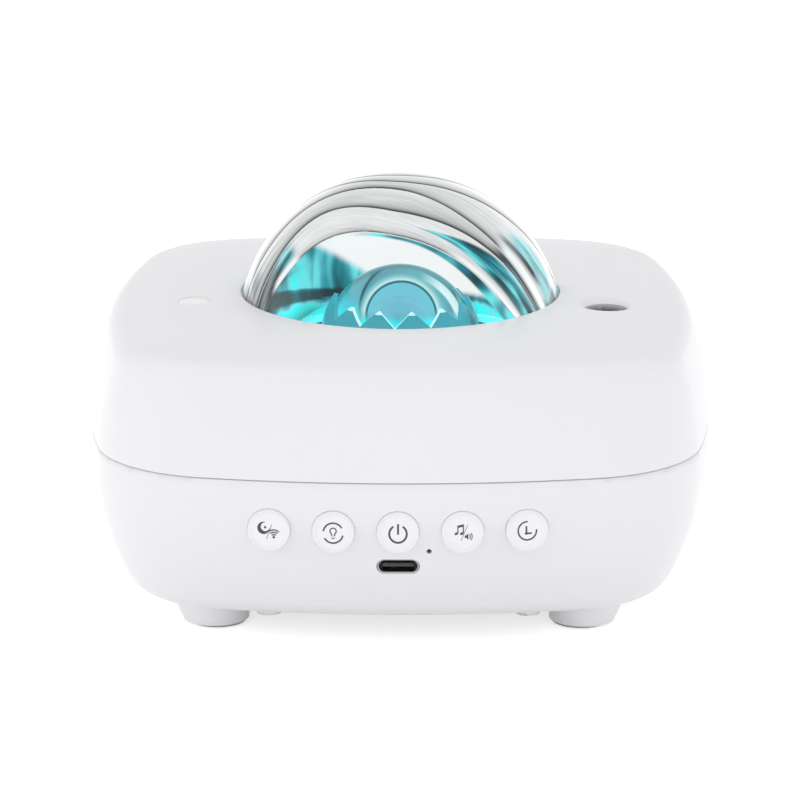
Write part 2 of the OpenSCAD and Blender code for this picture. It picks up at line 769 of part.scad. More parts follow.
module chassis() {
    ear_r = 4.6;
    arm_w = 9;
    post_turn = atan2(chassis_post_y, chassis_post_x);
    post_reach = norm([chassis_post_x, chassis_post_y]);
    color(nylon) translate([0, 0, chassis_z]) difference() {
        linear_extrude(chassis_t) {
            circle(r = chassis_r);
            for (turn = [post_turn, 180 - post_turn, 180 + post_turn, -post_turn]) rotate(turn) {
                translate([0, -arm_w / 2]) square([post_reach, arm_w]);
                translate([post_reach, 0]) circle(r = ear_r);
            }
            rotate(star_dir) translate([star_at, 0]) circle(r = barrel_foot_r + 2);
            translate([0, motor_y]) square([2 * motor_ear_x + 7, 2 * motor_boss_r + 6], center = true);
        }
        translate([0, 0, -1]) {
            cylinder(r = led_board_r + locate_gap, h = chassis_t + 2);
            translate([0, motor_y, 0]) cylinder(r = motor_boss_r + locate_gap, h = chassis_t + 2);
            at_corners(chassis_post_x, chassis_post_y)
                cylinder(r = small_screw_r + locate_gap, h = chassis_t + 2);
            for (s = [-1, 1]) translate([s * motor_ear_x, motor_y, 0])
                cylinder(r = small_screw_r + locate_gap, h = chassis_t + 2);
        }
    }
}

// Finned aluminium block under the lamps
module heat_sink() {
    fins = 7;
    fin_t = 1.6;
    fin_pitch = (sink_w - fin_t) / (fins - 1);
    color([0.75, 0.76, 0.78]) difference() {
        union() {
            translate([-sink_w / 2, -sink_w / 2, chassis_z - sink_plate]) cube([sink_w, sink_w, sink_plate]);
            for (i = [0:fins - 1])
                translate([-sink_w / 2 + i * fin_pitch, -sink_w / 2, chassis_z - sink_plate - sink_fin])
                    cube([fin_t, sink_w, sink_fin + 0.5]);
        }
        translate([0, 0, chassis_z - sink_plate - sink_fin - 1])
            cylinder(r = axle_r + run_gap, h = sink_plate + sink_fin + 2);
    }
}

module led_board() {
    color([0.95, 0.95, 0.93]) tube(led_board_r, axle_r + run_gap, chassis_z, board_t);
}

// Four lamps round the axle, and the moon port's own lamp
module leds() {
    led_r = 2.4;
    color([1, 0.96, 0.8]) {
        for (turn = [45:90:315]) rotate([0, 0, turn]) translate([led_at, 0, chassis_z + board_t]) {
            cylinder(r = led_r, h = 0.9);
            intersection() {
                translate([0, 0, 0.9]) sphere(r = led_r - 0.3);
                translate([0, 0, 0.5]) cylinder(r = 2 * led_r, h = 2 * led_r);
            }
        }
        translate([moon_x, moon_y, moon_holder_z() - 2]) cylinder(r = 2.5, h = 6);
    }
}

function moon_holder_z() = ceiling_z - window_drop - moon_lens_t - moon_holder_l;

// White cone that gathers the lamps' light up to the ripple disc
module reflector() {
    low_r = 13.2;
    high_r = 29.5;
    skin = 1.4;
    top = gear_z - 2 * end_gap;
    color([0.96, 0.96, 0.96]) rotate_extrude() polygon([
        [low_r, chassis_z + board_t + 0.6], [low_r + skin + 3.4, deck_z], [low_r + skin + 5.6, deck_z],
        [high_r + skin, top], [high_r, top]
    ]);
}

// Steel pin in the heat sink, with a shoulder that carries the rotor
module rotor_axle() {
    shoulder_r = 3;
    low = chassis_z - sink_plate;
    shoulder_low = chassis_z + board_t;
    color(steel) {
        translate([0, 0, low]) cylinder(r = axle_r, h = clip_z() + 1.4 - low);
        translate([0, 0, shoulder_low]) cylinder(r = shoulder_r, h = hub_low - end_gap - shoulder_low);
    }
}

function clip_z() = hub_high + end_gap;

module axle_clip() {
    color(steel) tube(axle_r + 1.5, axle_r, clip_z(), 0.7);
}

// Flat outline of a gear with straight-flanked teeth, thinned for backlash
module gear_outline(teeth, turn) {
    pitch_r = gear_module * teeth / 2;
    tip_r = pitch_r + 0.83 * gear_module;
    root_r = pitch_r - 1.16 * gear_module;
    pitch = 180 * gear_module / pitch_r;
    step = 360 / teeth;
    root_half = 0.56 * pitch / PI / 2;
    tip_half = 0.25 * pitch / PI / 2;
    polygon([
        for (i = [0:teeth - 1])
            for (p = [[root_r, -root_half], [tip_r, -tip_half], [tip_r, tip_half], [root_r, root_half]])
                let (a = turn + i * step + p.y * PI)
                p.x * [cos(a), sin(a)]
    ]);
}

// Turn that puts a gap between a follower's teeth over the ring gear's tooth on their shared line
function mesh_turn(teeth, direction) = direction + 180 + 180 / teeth + direction * ring_teeth / teeth;

module ring_gear() {
    color(nylon) translate([0, 0, gear_z]) linear_extrude(gear_face) difference() {
        gear_outline(ring_teeth, 0);
        circle(r = disc_r);
    }
}

module ripple_disc() {
    color(clear_cyan) difference() {
        union() {
            translate([0, 0, disc_z]) cylinder(r = disc_r, h = disc_t);
            translate([0, 0, hub_low]) cylinder(r = hub_r, h = hub_high - hub_low);
        }
        translate([0, 0, hub_low - 1]) cylinder(r = axle_r + run_gap, h = hub_high - hub_low + 2);
    }
}

// A bell's outer form: upright up to its shoulder, and half a ball above it
module bell_form(r, low, shoulder_z) {
    translate([0, 0, low]) cylinder(r = r, h = shoulder_z - low);
    intersection() {
        translate([0, 0, shoulder_z]) sphere(r = r);
        translate([0, 0, low]) cylinder(r = 2 * r, h = shoulder_z + 2 * r - low);
    }
}

// Clear bell over the hub that gathers the light again
module bell_lens() {
    shoulder_z = rotor_top + bell_h - bell_r;
    bore_z = rotor_top + bell_h - bell_top_t - bell_bore_r;
    color(clear_glass) difference() {
        bell_form(bell_r, rotor_top, shoulder_z);
        bell_form(bell_bore_r, rotor_top - 1, bore_z);
    }
}

// Clear collar that hugs the bell, with a zigzag of facets along its top edge
module crown_lens() {
    shoulder_z = rotor_top + bell_h - bell_r;
    inner_r = bell_r + crown_air;
    outer_r = inner_r + crown_w;
    tip_z = rotor_top + crown_h;
    notch_half = PI * sqrt(outer_r * outer_r - pow(tip_z - shoulder_z, 2)) / crown_tips;
    color(clear_cyan) difference() {
        bell_form(outer_r, rotor_top, shoulder_z);
        bell_form(inner_r, rotor_top - 1, shoulder_z);
        translate([0, 0, tip_z]) cylinder(r = 2 * outer_r, h = bell_h);
        for (i = [0:crown_tips - 1]) rotate([0, 0, notch_dir + i * 360 / crown_tips])
            translate([inner_r / 2, 0, tip_z]) rotate([90, 0, 90])
                linear_extrude(outer_r) polygon([
                    [0, -crown_notch], [notch_half, 0], [notch_half, 1], [-notch_half, 1], [-notch_half, 0]
                ]);
    }
}

module motor() {
    ear_r = 3.2;
    color(steel) difference() {
        translate([0, motor_y, 0]) union() {
            translate([0, 0, chassis_z - motor_h]) cylinder(r = motor_r, h = motor_h);
            translate([0, 0, chassis_z - 1]) {
                translate([-motor_ear_x, -ear_r, 0]) cube([2 * motor_ear_x, 2 * ear_r, 1]);
                for (s = [-1, 1]) translate([s * motor_ear_x, 0, 0]) cylinder(r = ear_r, h = 1);
            }
            translate([0, 0, chassis_z - 1]) cylinder(r = motor_boss_r, h = motor_boss_h + 1);
        }
        translate([0, motor_y, chassis_z - shaft_depth])
            cylinder(r = axle_r + run_gap, h = shaft_depth + motor_boss_h + 1);
        for (s = [-1, 1]) translate([s * motor_ear_x, motor_y, chassis_z - 2])
            cylinder(r = small_screw_r, h = 4);
    }
}

module motor_shaft() {
    shaft_z = chassis_z - shaft_depth + end_gap;
    color(steel) translate([0, motor_y, shaft_z]) cylinder(r = axle_r, h = gear_z + gear_face + 0.5 - shaft_z);
}

module pinion() {
    color(nylon) translate([0, motor_y, gear_z]) linear_extrude(gear_face) difference() {
        gear_outline(pinion_teeth, mesh_turn(pinion_teeth, motor_dir));
        circle(r = axle_r);
    }
}

// Brass barrel of the star lamp, which the grating's gear turns on
module laser_barrel() {
    color([0.78, 0.62, 0.3]) translate([star_x, star_y, 0]) difference() {
        union() {
            translate([0, 0, deck_z]) cylinder(r = barrel_foot_r, h = gear_z - end_gap - deck_z);
            translate([0, 0, deck_z]) cylinder(r = barrel_r, h = barrel_top - deck_z);
        }
        translate([0, 0, deck_z + 2]) cylinder(r = barrel_bore_r, h = barrel_top - deck_z);
    }
}

module laser_lens() {
    color([0.3, 0.8, 0.5, 0.6]) translate([star_x, star_y, barrel_top - 1.4])
        cylinder(r = barrel_bore_r, h = 1);
}

module grating_gear() {
    sleeve_r = barrel_r + run_gap;
    color(nylon) translate([star_x, star_y, gear_z]) difference() {
        union() {
            linear_extrude(gear_face) gear_outline(grating_teeth, mesh_turn(grating_teeth, star_dir));
            cylinder(r = sleeve_r + sleeve_wall, h = sleeve_top - gear_z);
        }
        translate([0, 0, -1]) cylinder(r = sleeve_r, h = sleeve_top - gear_z + 2);
    }
}

module grating_disc() {
    color([0.7, 0.85, 0.8, 0.5]) translate([star_x, star_y, sleeve_top])
        cylinder(r = barrel_r + sleeve_wall, h = grating_t);
}

module star_window() {
    color([0.25, 0.3, 0.32, 0.6]) translate([star_x, star_y, ceiling_z - window_drop - window_t])
        cylinder(r = window_r, h = window_t);
}

// Small lens whose nose fills the moon port
module moon_lens() {
    nose_drop = 0.4;
    low = ceiling_z - window_drop - moon_lens_t;
    color([0.9, 0.92, 0.93, 0.7]) translate([moon_x, moon_y, 0]) {
        translate([0, 0, low]) cylinder(r = moon_lens_r, h = moon_lens_t);
        translate([0, 0, low]) cylinder(r = moon_port_r - locate_gap / 2, h = top_z - nose_drop - low);
    }
}

module moon_holder() {
    bore_r = 2.6;
    film_r = 3.3;
    film_ledge = 3;
    color([0.2, 0.2, 0.22]) translate([moon_x, moon_y, moon_holder_z()]) difference() {
        cylinder(r = moon_lens_r - locate_gap / 2, h = moon_holder_l);
        translate([0, 0, -1]) cylinder(r = bore_r, h = moon_holder_l + 2);
        translate([0, 0, moon_holder_l - film_ledge]) cylinder(r = film_r, h = film_ledge + 1);
    }
}

// Film disc with the moon's picture
module moon_slide() {
    color([0.5, 0.5, 0.6, 0.6]) translate([moon_x, moon_y, moon_holder_z() + moon_holder_l - 3])
        cylinder(r = 3.2, h = 0.5);
}

module speaker_frame() {
    plate_t = speaker_plate_t;
    skin = 0.8;
    hole_r = cone_r - 1.1;
    low_r = cone_r + 1.1;
    high_r = magnet_r;
    flare_z = floor_z + 0.32 * basket_h;
    top = floor_z + basket_h;
    color([0.3, 0.3, 0.32]) translate([0, speaker_y, 0]) difference() {
        union() {
            translate([-speaker_w / 2, -speaker_w / 2, floor_z]) cube([speaker_w, speaker_w, plate_t]);
            rotate_extrude() polygon([
                [low_r - skin, floor_z + plate_t / 2], [low_r, floor_z + plate_t / 2], [low_r, flare_z],
                [high_r, top], [0, top], [0, top - skin], [high_r - skin, top - skin],
                [low_r - skin, flare_z - skin / 2]
            ]);
        }
        translate([0, 0, floor_z - 1]) cylinder(r = hole_r, h = plate_t + 1);
        speaker_screws_at() translate([0, 0, floor_z - 1]) cylinder(r = small_screw_r + locate_gap, h = 4);
    }
}

module speaker_screws_at() {
    at_corners(speaker_w / 2 - 3.5, speaker_w / 2 - 3.5) children();
}

module speaker_magnet() {
    color([0.2, 0.2, 0.21]) translate([0, speaker_y, floor_z + basket_h]) {
        cylinder(r = magnet_r, h = 0.6 * magnet_h);
        cylinder(r = 0.75 * magnet_r, h = magnet_h);
    }
}

// Paper cone with its dust cap and the flat edge that is glued to the frame
module speaker_cone() {
    skin = 0.5;
    low = floor_z + speaker_plate_t;
    rise = 0.5 * basket_h;
    edge_r = cone_r - 2.3;
    cap_r = magnet_r / 2;
    color([0.15, 0.15, 0.16]) translate([0, speaker_y, 0]) rotate_extrude() polygon([
        [cone_r, low], [cone_r, low + skin], [edge_r, low + skin], [cap_r, low + rise], [0, low + rise],
        [0, low + rise - skin], [cap_r - 0.2, low + rise - skin], [edge_r - 0.2, low]
    ]);
}

module housing_screws() {
    head_h = 2;
    color(steel) at_corners(foot_at, foot_at)
        screw_up(housing_screw_r - pilot_slack / 2, 2.8, head_h, well_top_z, housing_screw_l - 1 + well_web);
}

// Screws that hold the key board from behind and the main board from above
module board_screws() {
    shank = 5;
    color(steel) {
        for (s = [-1, 1]) {
            bar_y(small_head_r, s * key_board_screw_x, key_board_y + board_t, key_z, small_head_h);
            bar_y(small_screw_r, s * key_board_screw_x, key_board_y - 3, key_z, board_t + 3);
        }
        for (x = [-main_screw_x, main_screw_x], y = main_screw_ys) translate([x, y, 0]) {
            translate([0, 0, main_board_top]) cylinder(r = small_head_r, h = small_head_h);
            translate([0, 0, main_board_top - shank]) cylinder(r = small_screw_r, h = shank);
        }
    }
}

// Screws of the dome's ring, the chassis, the motor and the speaker
module inner_screws() {
    color(steel) {
        ring_screws_at() screw_up(small_screw_r, small_head_r, small_head_h, skirt_z - ring_t, 8);
        at_corners(chassis_post_x, chassis_post_y)
            screw_up(small_screw_r, small_head_r, small_head_h, chassis_z, 9);
        for (s = [-1, 1]) translate([s * motor_ear_x, motor_y, 0]) rotate([180, 0, 0])
            screw_up(small_screw_r, small_head_r, small_head_h, -deck_z, chassis_t + 1);
        translate([0, speaker_y, 0]) speaker_screws_at() rotate([180, 0, 0])
            screw_up(small_screw_r, small_head_r, small_head_h, -floor_z - speaker_plate_t, speaker_screw_l);
    }
}

lower_shell();
upper_shell();
dome();
dome_ring();
foot_front_left();
foot_front_right();
foot_rear_left();
foot_rear_right();
pad_front_left();
pad_front_right();
pad_rear_left();
pad_rear_right();
key_star();
key_lamp();
key_power();
key_sound();
key_timer();
stem_star();
stem_lamp();
stem_power();
stem_sound();
stem_timer();
switches();
key_board();
microphone();
main_board();
charge_socket();
charge_tongue();
chips();
capacitors();
radio_module();
chassis();
heat_sink();
led_board();
leds();
reflector();
rotor_axle();
axle_clip();
ring_gear();
ripple_disc();
crown_lens();
bell_lens();
motor();
motor_shaft();
pinion();
laser_barrel();
laser_lens();
grating_gear();
grating_disc();
star_window();
moon_lens();
moon_holder();
moon_slide();
speaker_frame();
speaker_magnet();
speaker_cone();
housing_screws();
board_screws();
inner_screws();
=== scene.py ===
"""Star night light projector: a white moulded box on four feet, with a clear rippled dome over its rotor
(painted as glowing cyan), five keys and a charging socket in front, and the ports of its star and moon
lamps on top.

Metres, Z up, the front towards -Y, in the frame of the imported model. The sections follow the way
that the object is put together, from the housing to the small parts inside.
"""

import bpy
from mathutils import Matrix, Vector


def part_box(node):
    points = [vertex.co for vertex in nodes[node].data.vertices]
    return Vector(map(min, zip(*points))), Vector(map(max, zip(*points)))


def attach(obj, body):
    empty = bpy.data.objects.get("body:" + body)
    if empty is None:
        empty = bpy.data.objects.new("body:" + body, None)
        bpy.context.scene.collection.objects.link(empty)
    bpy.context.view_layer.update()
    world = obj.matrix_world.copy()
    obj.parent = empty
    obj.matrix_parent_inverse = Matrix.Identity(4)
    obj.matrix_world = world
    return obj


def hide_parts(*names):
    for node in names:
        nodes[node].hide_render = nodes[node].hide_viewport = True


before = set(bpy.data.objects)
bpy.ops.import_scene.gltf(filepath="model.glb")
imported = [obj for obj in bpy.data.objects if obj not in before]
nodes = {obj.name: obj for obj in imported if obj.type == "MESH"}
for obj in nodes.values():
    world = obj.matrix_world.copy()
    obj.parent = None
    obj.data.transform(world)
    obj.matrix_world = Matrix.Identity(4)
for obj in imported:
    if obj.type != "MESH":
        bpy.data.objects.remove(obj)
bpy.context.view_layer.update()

import math

import bmesh
import bpy
from mathutils import Matrix, Quaternion, Vector

scene = bpy.context.scene
mm = 0.001


# Camera: a long lens almost square to the front, which looks down on it a little.

camera_place = Vector((5.81, -835.96, 271.55)) * mm
camera_direction = Vector((-0.00678, 0.96342, -0.26791))
camera = bpy.data.objects.new("camera", bpy.data.cameras.new("camera"))
camera.data.sensor_width = 36
camera.data.lens = 170.73
camera.data.clip_start = 0.05
camera.location = camera_place
camera.rotation_euler = camera_direction.to_track_quat("-Z", "Y").to_euler()
scene.collection.objects.link(camera)
scene.camera = camera


# Studio: a white sweep under soft light. What the camera and glass see of it is plain white, and gloss
# sees it darken overhead. The object is lit at an ordinary level and leaves a soft shadow on the floor.

scene.view_settings.view_transform = "Standard"


def feed(tree, sockets, values):
    """Gives each socket its value: a number, a colour, or the output of another node."""
    for socket, value in zip(sockets, values):
        if isinstance(value, (int, float)):
            socket.default_value = value
        elif isinstance(value, tuple):
            socket.default_value = (*value, 1)
        elif value is not None:
            tree.links.new(value, socket)


def maths(tree, operation, a, b=None, c=None):
    """One step of arithmetic between sockets or numbers."""
    node = tree.nodes.new("ShaderNodeMath")
    node.operation = operation
    feed(tree, node.inputs, (a, b, c))
    return node.outputs[0]


def mix_colours(tree, share, a, b, blend="MIX"):
    node = tree.nodes.new("ShaderNodeMix")
    node.data_type = "RGBA"
    node.blend_type = blend
    feed(tree, (node.inputs["Factor"], node.inputs["A"], node.inputs["B"]), (share, a, b))
    return node.outputs["Result"]


def coordinates(tree, kind="Object"):
    return tree.nodes.new("ShaderNodeTexCoord").outputs[kind]


def axes_of(tree, vector):
    """The x, y and z sockets of a vector."""
    split = tree.nodes.new("ShaderNodeSeparateXYZ")
    tree.links.new(vector, split.inputs[0])
    return split.outputs


def new_material(name):
    """A new material, its tree of nodes and its shader."""
    made = bpy.data.materials.new(name)
    made.use_nodes = True
    return made, made.node_tree, made.node_tree.nodes["Principled BSDF"]


def seen_directly(tree):
    """A value that is 1 on camera, glossy and transmission rays, and 0 on the light that falls on things."""
    rays = tree.nodes.new("ShaderNodeLightPath").outputs
    either = maths(tree, "MAXIMUM", rays["Is Camera Ray"], rays["Is Glossy Ray"])
    return maths(tree, "MAXIMUM", either, rays["Is Transmission Ray"])


world = bpy.data.worlds.new("studio")
scene.world = world
world.use_nodes = True
sky = world.node_tree
sky_height = axes_of(sky, coordinates(sky, "Generated"))["Z"]


def sky_grey(low, high, at_low, at_high):
    """Brightness of the sky: at_low up to one height, at_high from another on, and a slope between."""
    slope = sky.nodes.new("ShaderNodeMapRange")
    limits = [slope.inputs[name] for name in ("Value", "From Min", "From Max", "To Min", "To Max")]
    feed(sky, limits, (sky_height, low, high, at_low, at_high))
    return slope.outputs["Result"]


falling_light = sky_grey(0, 0.7, 0.86, 1.06)
in_gloss = sky_grey(0.1, 0.55, 1, 0.25)
is_glossy = sky.nodes.new("ShaderNodeLightPath").outputs["Is Glossy Ray"]
seen_sky = mix_colours(sky, is_glossy, (1, 1, 1), in_gloss)
sky_colour = mix_colours(sky, seen_directly(sky), falling_light, seen_sky)
sky.links.new(sky_colour, sky.nodes["Background"].inputs["Color"])

floor_side = 6
bm = bmesh.new()
bmesh.ops.create_grid(bm, x_segments=1, y_segments=1, size=floor_side / 2)
floor = bpy.data.objects.new("floor", bpy.data.meshes.new("floor"))
bm.to_mesh(floor.data)
bm.free()
scene.collection.objects.link(floor)
floor_paint, tree, shader = new_material("studio_floor")
shader.inputs["Base Color"].default_value = (0.9, 0.9, 0.905, 1)
shader.inputs["Roughness"].default_value = 0.9
shader.inputs["Specular IOR Level"].default_value = 0
shader.inputs["Emission Color"].default_value = (1, 1, 1, 1)
tree.links.new(maths(tree, "MULTIPLY", seen_directly(tree), 0.6), shader.inputs["Emission Strength"])
floor.data.materials.append(floor_paint)

lamps = (
    ("left_softbox", (-1.4, -0.5, 0.3), 0.9, 2.6),
    ("right_softbox", (1.3, -0.6, 0.3), 0.9, 1.0),
    ("front_softbox", (0.1, -1.5, 0.05), 0.7, 1.1),
    ("low_softbox", (0.0, -1.2, 0.02), 0.5, 0.9),
)
for name, place, side, watts in lamps:
    lamp = bpy.data.objects.new(name, bpy.data.lights.new(name, "AREA"))
    lamp.data.shape = "SQUARE"
    lamp.data.size = side
    lamp.data.energy = watts
    lamp.location = place
    lamp.rotation_euler = (Vector((0, 0, 0.04)) - Vector(place)).to_track_quat("-Z", "Y").to_euler()
    lamp.visible_glossy = False
    lamp.visible_transmission = False
    scene.collection.objects.link(lamp)


# Housing: two thin-walled white shells, injection moulded with a fine spark-eroded grain. The lower
# one is a bowl and the upper one a lid, and four screws in the feet's wells draw them together.


def grain_group():
    """Fine grain of a real surface: a little spread of colour and roughness, and a shallow bump."""
    group = bpy.data.node_groups.new("surface_grain", "ShaderNodeTree")
    sockets = (
        ("Color", "NodeSocketColor", (0.8, 0.8, 0.8, 1)),
        ("Color Spread", "NodeSocketFloat", 0.03),
        ("Roughness", "NodeSocketFloat", 0.4),
        ("Roughness Spread", "NodeSocketFloat", 0.1),
        ("Grain Size", "NodeSocketFloat", 0.0004),
        ("Stretch", "NodeSocketVector", (1, 1, 1)),
        ("Depth", "NodeSocketFloat", 0.00001),
    )
    for name, kind, value in sockets:
        group.interface.new_socket(name, in_out="INPUT", socket_type=kind).default_value = value
    outputs = (("Color", "NodeSocketColor"), ("Roughness", "NodeSocketFloat"), ("Normal", "NodeSocketVector"))
    for name, kind in outputs:
        group.interface.new_socket(name, in_out="OUTPUT", socket_type=kind)
    enter = group.nodes.new("NodeGroupInput")
    leave = group.nodes.new("NodeGroupOutput")
    stretch = group.nodes.new("ShaderNodeVectorMath")
    stretch.operation = "MULTIPLY"
    group.links.new(coordinates(group), stretch.inputs[0])
    group.links.new(enter.outputs["Stretch"], stretch.inputs[1])
    fine = group.nodes.new("ShaderNodeTexNoise")
    fine.inputs["Detail"].default_value = 3
    group.links.new(stretch.outputs[0], fine.inputs["Vector"])
    group.links.new(maths(group, "DIVIDE", 1, enter.outputs["Grain Size"]), fine.inputs["Scale"])
    broad = group.nodes.new("ShaderNodeTexNoise")
    broad.inputs["Scale"].default_value = 45
    broad.inputs["Detail"].default_value = 4
    group.links.new(stretch.outputs[0], broad.inputs["Vector"])
    for name, noise in (("Color", broad), ("Roughness", fine)):
        centred = maths(group, "SUBTRACT", noise.outputs["Fac"], 0.5)
        share = maths(group, "MULTIPLY_ADD", centred, enter.outputs[f"{name} Spread"], 1)
        spread = group.nodes.new("ShaderNodeVectorMath")
        spread.operation = "MULTIPLY"
        feed(group, spread.inputs, (enter.outputs[name], share))
        group.links.new(spread.outputs[0], leave.inputs[name])
    bump = group.nodes.new("ShaderNodeBump")
    group.links.new(fine.outputs["Fac"], bump.inputs["Height"])
    group.links.new(enter.outputs["Depth"], bump.inputs["Distance"])
    group.links.new(bump.outputs["Normal"], leave.inputs["Normal"])
    return group


surface_grain = grain_group()


def finish(name, colour, roughness, grain, depth, stretch=(1, 1, 1), colour_spread=0.03, **shader_values):
    """A material of one colour with its own grain. grain is the grain's size and depth its height."""
    made, tree, shader = new_material(name)
    surface = tree.nodes.new("ShaderNodeGroup")
    surface.node_tree = surface_grain
    surface.name = "grain"
    surface.inputs["Color"].default_value = (*colour, 1)
    surface.inputs["Color Spread"].default_value = colour_spread
    surface.inputs["Roughness"].default_value = roughness
    surface.inputs["Grain Size"].default_value = grain
    surface.inputs["Stretch"].default_value = stretch
    surface.inputs["Depth"].default_value = depth
    tree.links.new(surface.outputs["Color"], shader.inputs["Base Color"])
    tree.links.new(surface.outputs["Roughness"], shader.inputs["Roughness"])
    tree.links.new(surface.outputs["Normal"], shader.inputs["Normal"])
    for socket, value in shader_values.items():
        shader.inputs[socket.replace("_", " ")].default_value = value
    return made


def add_piece(name, bm, material, body, replaced=()):
    """Makes a bmesh a finished piece of the object, on its body and with its material slot."""
    piece = bpy.data.objects.new(name, bpy.data.meshes.new(name))
    bm.to_mesh(piece.data)
    bm.free()
    piece.data.materials.append(material)
    scene.collection.objects.link(piece)
    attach(piece, body)
    if replaced:
        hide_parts(*replaced)
    return piece


def shade_by_angle(piece, degrees):
    piece.data.shade_smooth()
    piece.data.set_sharp_from_angle(angle=math.radians(degrees))
    flat_first = piece.modifiers.new("flat_faces_first", "WEIGHTED_NORMAL")
    flat_first.keep_sharp = True


def welded_copy(node, name, material, body, degrees=28):
    """A copy of a CAD node as one smooth skin, which stands for it."""
    bm = bmesh.new()
    bm.from_mesh(nodes[node].data)
    bmesh.ops.remove_doubles(bm, verts=bm.verts, dist=0.01 * mm)
    piece = add_piece(name, bm, material, body, [node])
    shade_by_angle(piece, degrees)
    return piece


shell_white = finish(
    "moulded_white", (0.79, 0.788, 0.808), 0.36, 0.35 * mm, 0.006 * mm,
    colour_spread=0.012, Specular_IOR_Level=0.4,
)
welded_copy("lower_shell", "housing_bowl", shell_white, "housing")
welded_copy("upper_shell", "housing_lid", shell_white, "housing")


# Feet: four white cones that lean outwards, each with a spigot up its screw's well and a soft
# grey rubber pad let into its underside.

# The feet's white is painted lighter than the housing's, to make up for the shade under the body.
foot_white = finish(
    "foot_white", (0.9, 0.89, 0.9), 0.42, 0.35 * mm, 0.006 * mm, colour_spread=0.012, Specular_IOR_Level=0.4
)
pad_grey = finish("pad_rubber", (0.42, 0.42, 0.44), 0.75, 0.25 * mm, 0.02 * mm)


def dress(material, *names):
    """Gives CAD nodes that stay as they are a material."""
    for node in names:
        for slot in nodes[node].material_slots:
            slot.material = material


corners = [f"{end}_{side}" for end in ("front", "rear") for side in ("left", "right")]
for corner in corners:
    welded_copy(f"foot_{corner}", f"foot_skin_{corner}", foot_white, "housing")
dress(pad_grey, *[f"pad_{corner}" for corner in corners])


# Keys: five round white caps, each with a rolled rim and a shallow dish for the fingertip, and a
# symbol printed in dark grey. Each cap slides in its hole and bears on its switch's stem.

key_white = finish("key_white", (0.83, 0.83, 0.845), 0.3, 0.3 * mm, 0.004 * mm, colour_spread=0.01)
ink = finish("key_ink", (0.062, 0.062, 0.07), 0.45, 0.1 * mm, 0.004 * mm, colour_spread=0.15)
key_names = ("star", "lamp", "power", "sound", "timer")
key_pitch = 13.7 * mm
key_height = 29.5 * mm
cap_r = 4.56 * mm
rim_w = 0.7 * mm
rim_height = 0.28 * mm
rim_drop = 0.42 * mm
dish_depth = 0.3 * mm
face_set_back = 0.65 * mm
brim_r = cap_r + 1 * mm
brim_t = 0.8 * mm
profile_steps = 24
print_height = 0.03 * mm
wall_lean = math.asin(6.7 / 54)
side_bulge_r = 212 * mm


def dish_y(r):
    """Depth of the cap's face at a radius: a dish, then the rolled rim."""
    flat_r = cap_r - rim_w
    if r < flat_r:
        return dish_depth * (1 - (r / flat_r) ** 4)
    share = min((r - flat_r) / rim_w, 1)
    return -rim_height * math.sin(math.pi * share) + rim_drop * share**6


def lean(point, face_y, yaw):
    """Leans the front of a cap to the wall's slope, and puts it in its place."""
    slope = math.tan(wall_lean) * point.z + math.tan(yaw) * point.x
    return Vector((point.x, point.y + face_y + slope, point.z))


def verts_of(geom):
    return [g for g in geom if isinstance(g, bmesh.types.BMVert)]


def edges_of(geom):
    return [g for g in geom if isinstance(g, bmesh.types.BMEdge)]


# The symbols are drawn in millimetres to the right of and above the middle of a key, with angles in
# degrees, and then laid over its dish.


def arc_band(bm, centre, r, width, start, end, steps=24):
    """A flat arc in the XZ plane, from one angle to another."""
    first = math.radians(start)
    ray = Vector((math.cos(first), 0, math.sin(first)))
    middle = Vector((centre[0], 0, centre[1]))
    ends = [bm.verts.new((middle + ray * (r + s * width / 2)) * mm) for s in (-1, 1)]
    edge = bm.edges.new(ends)
    angle = math.radians(end - start)
    bmesh.ops.spin(bm, geom=[edge] + ends, cent=middle * mm, axis=(0, -1, 0), angle=angle, steps=steps)


def bar(bm, start, end, width, end_width=None, steps=6):
    """A flat bar in the XZ plane, which may widen towards its end."""
    a = Vector((start[0], 0, start[1])) * mm
    b = Vector((end[0], 0, end[1])) * mm
    half = Vector((b.z - a.z, 0, a.x - b.x)).normalized() * width * mm / 2
    growth = (end_width or width) / width
    edges = [bm.edges.new([bm.verts.new(a + half), bm.verts.new(a - half)])]
    for step in range(1, steps + 1):
        geom = bmesh.ops.extrude_edge_only(bm, edges=edges)["geom"]
        ends = verts_of(geom)
        edges = [e for e in edges_of(geom) if all(v in ends for v in e.verts)]
        middle = a.lerp(b, step / steps)
        wide = half * (1 + (growth - 1) * step / steps)
        for v in ends:
            v.co = middle + (wide if (v.co - a).dot(half) > 0 else -wide)


def dot(bm, centre, r, squeeze=1.0, turn=0):
    """A flat disc in the XZ plane, which may be squeezed to an oval and turned."""
    place = Matrix.Translation(Vector((centre[0], 0, centre[1])) * mm)
    upright = Matrix.Rotation(math.radians(90), 4, "X")
    oval = Matrix.Rotation(math.radians(-turn), 4, "Y") @ Matrix.Diagonal((1, 1, squeeze, 1))
    bmesh.ops.create_circle(bm, cap_ends=True, segments=20, radius=r * mm, matrix=place @ oval @ upright)


def crescent(bm, centre, r, tilt):
    """A moon: the ring between two circles that nearly touch on one side."""
    arc_band(bm, centre, r, 0.4 * r, tilt + 45, tilt + 315, 28)
    middle = Vector((centre[0], 0, centre[1])) * mm
    bite = Vector((math.cos(math.radians(tilt)), 0, math.sin(math.radians(tilt)))) * 0.42 * r * mm
    for v in bm.verts:
        away = v.co - middle
        if 0.7 * r * mm < away.length < 0.9 * r * mm:
            v.co = middle + bite + away.normalized() * 0.86 * r * mm


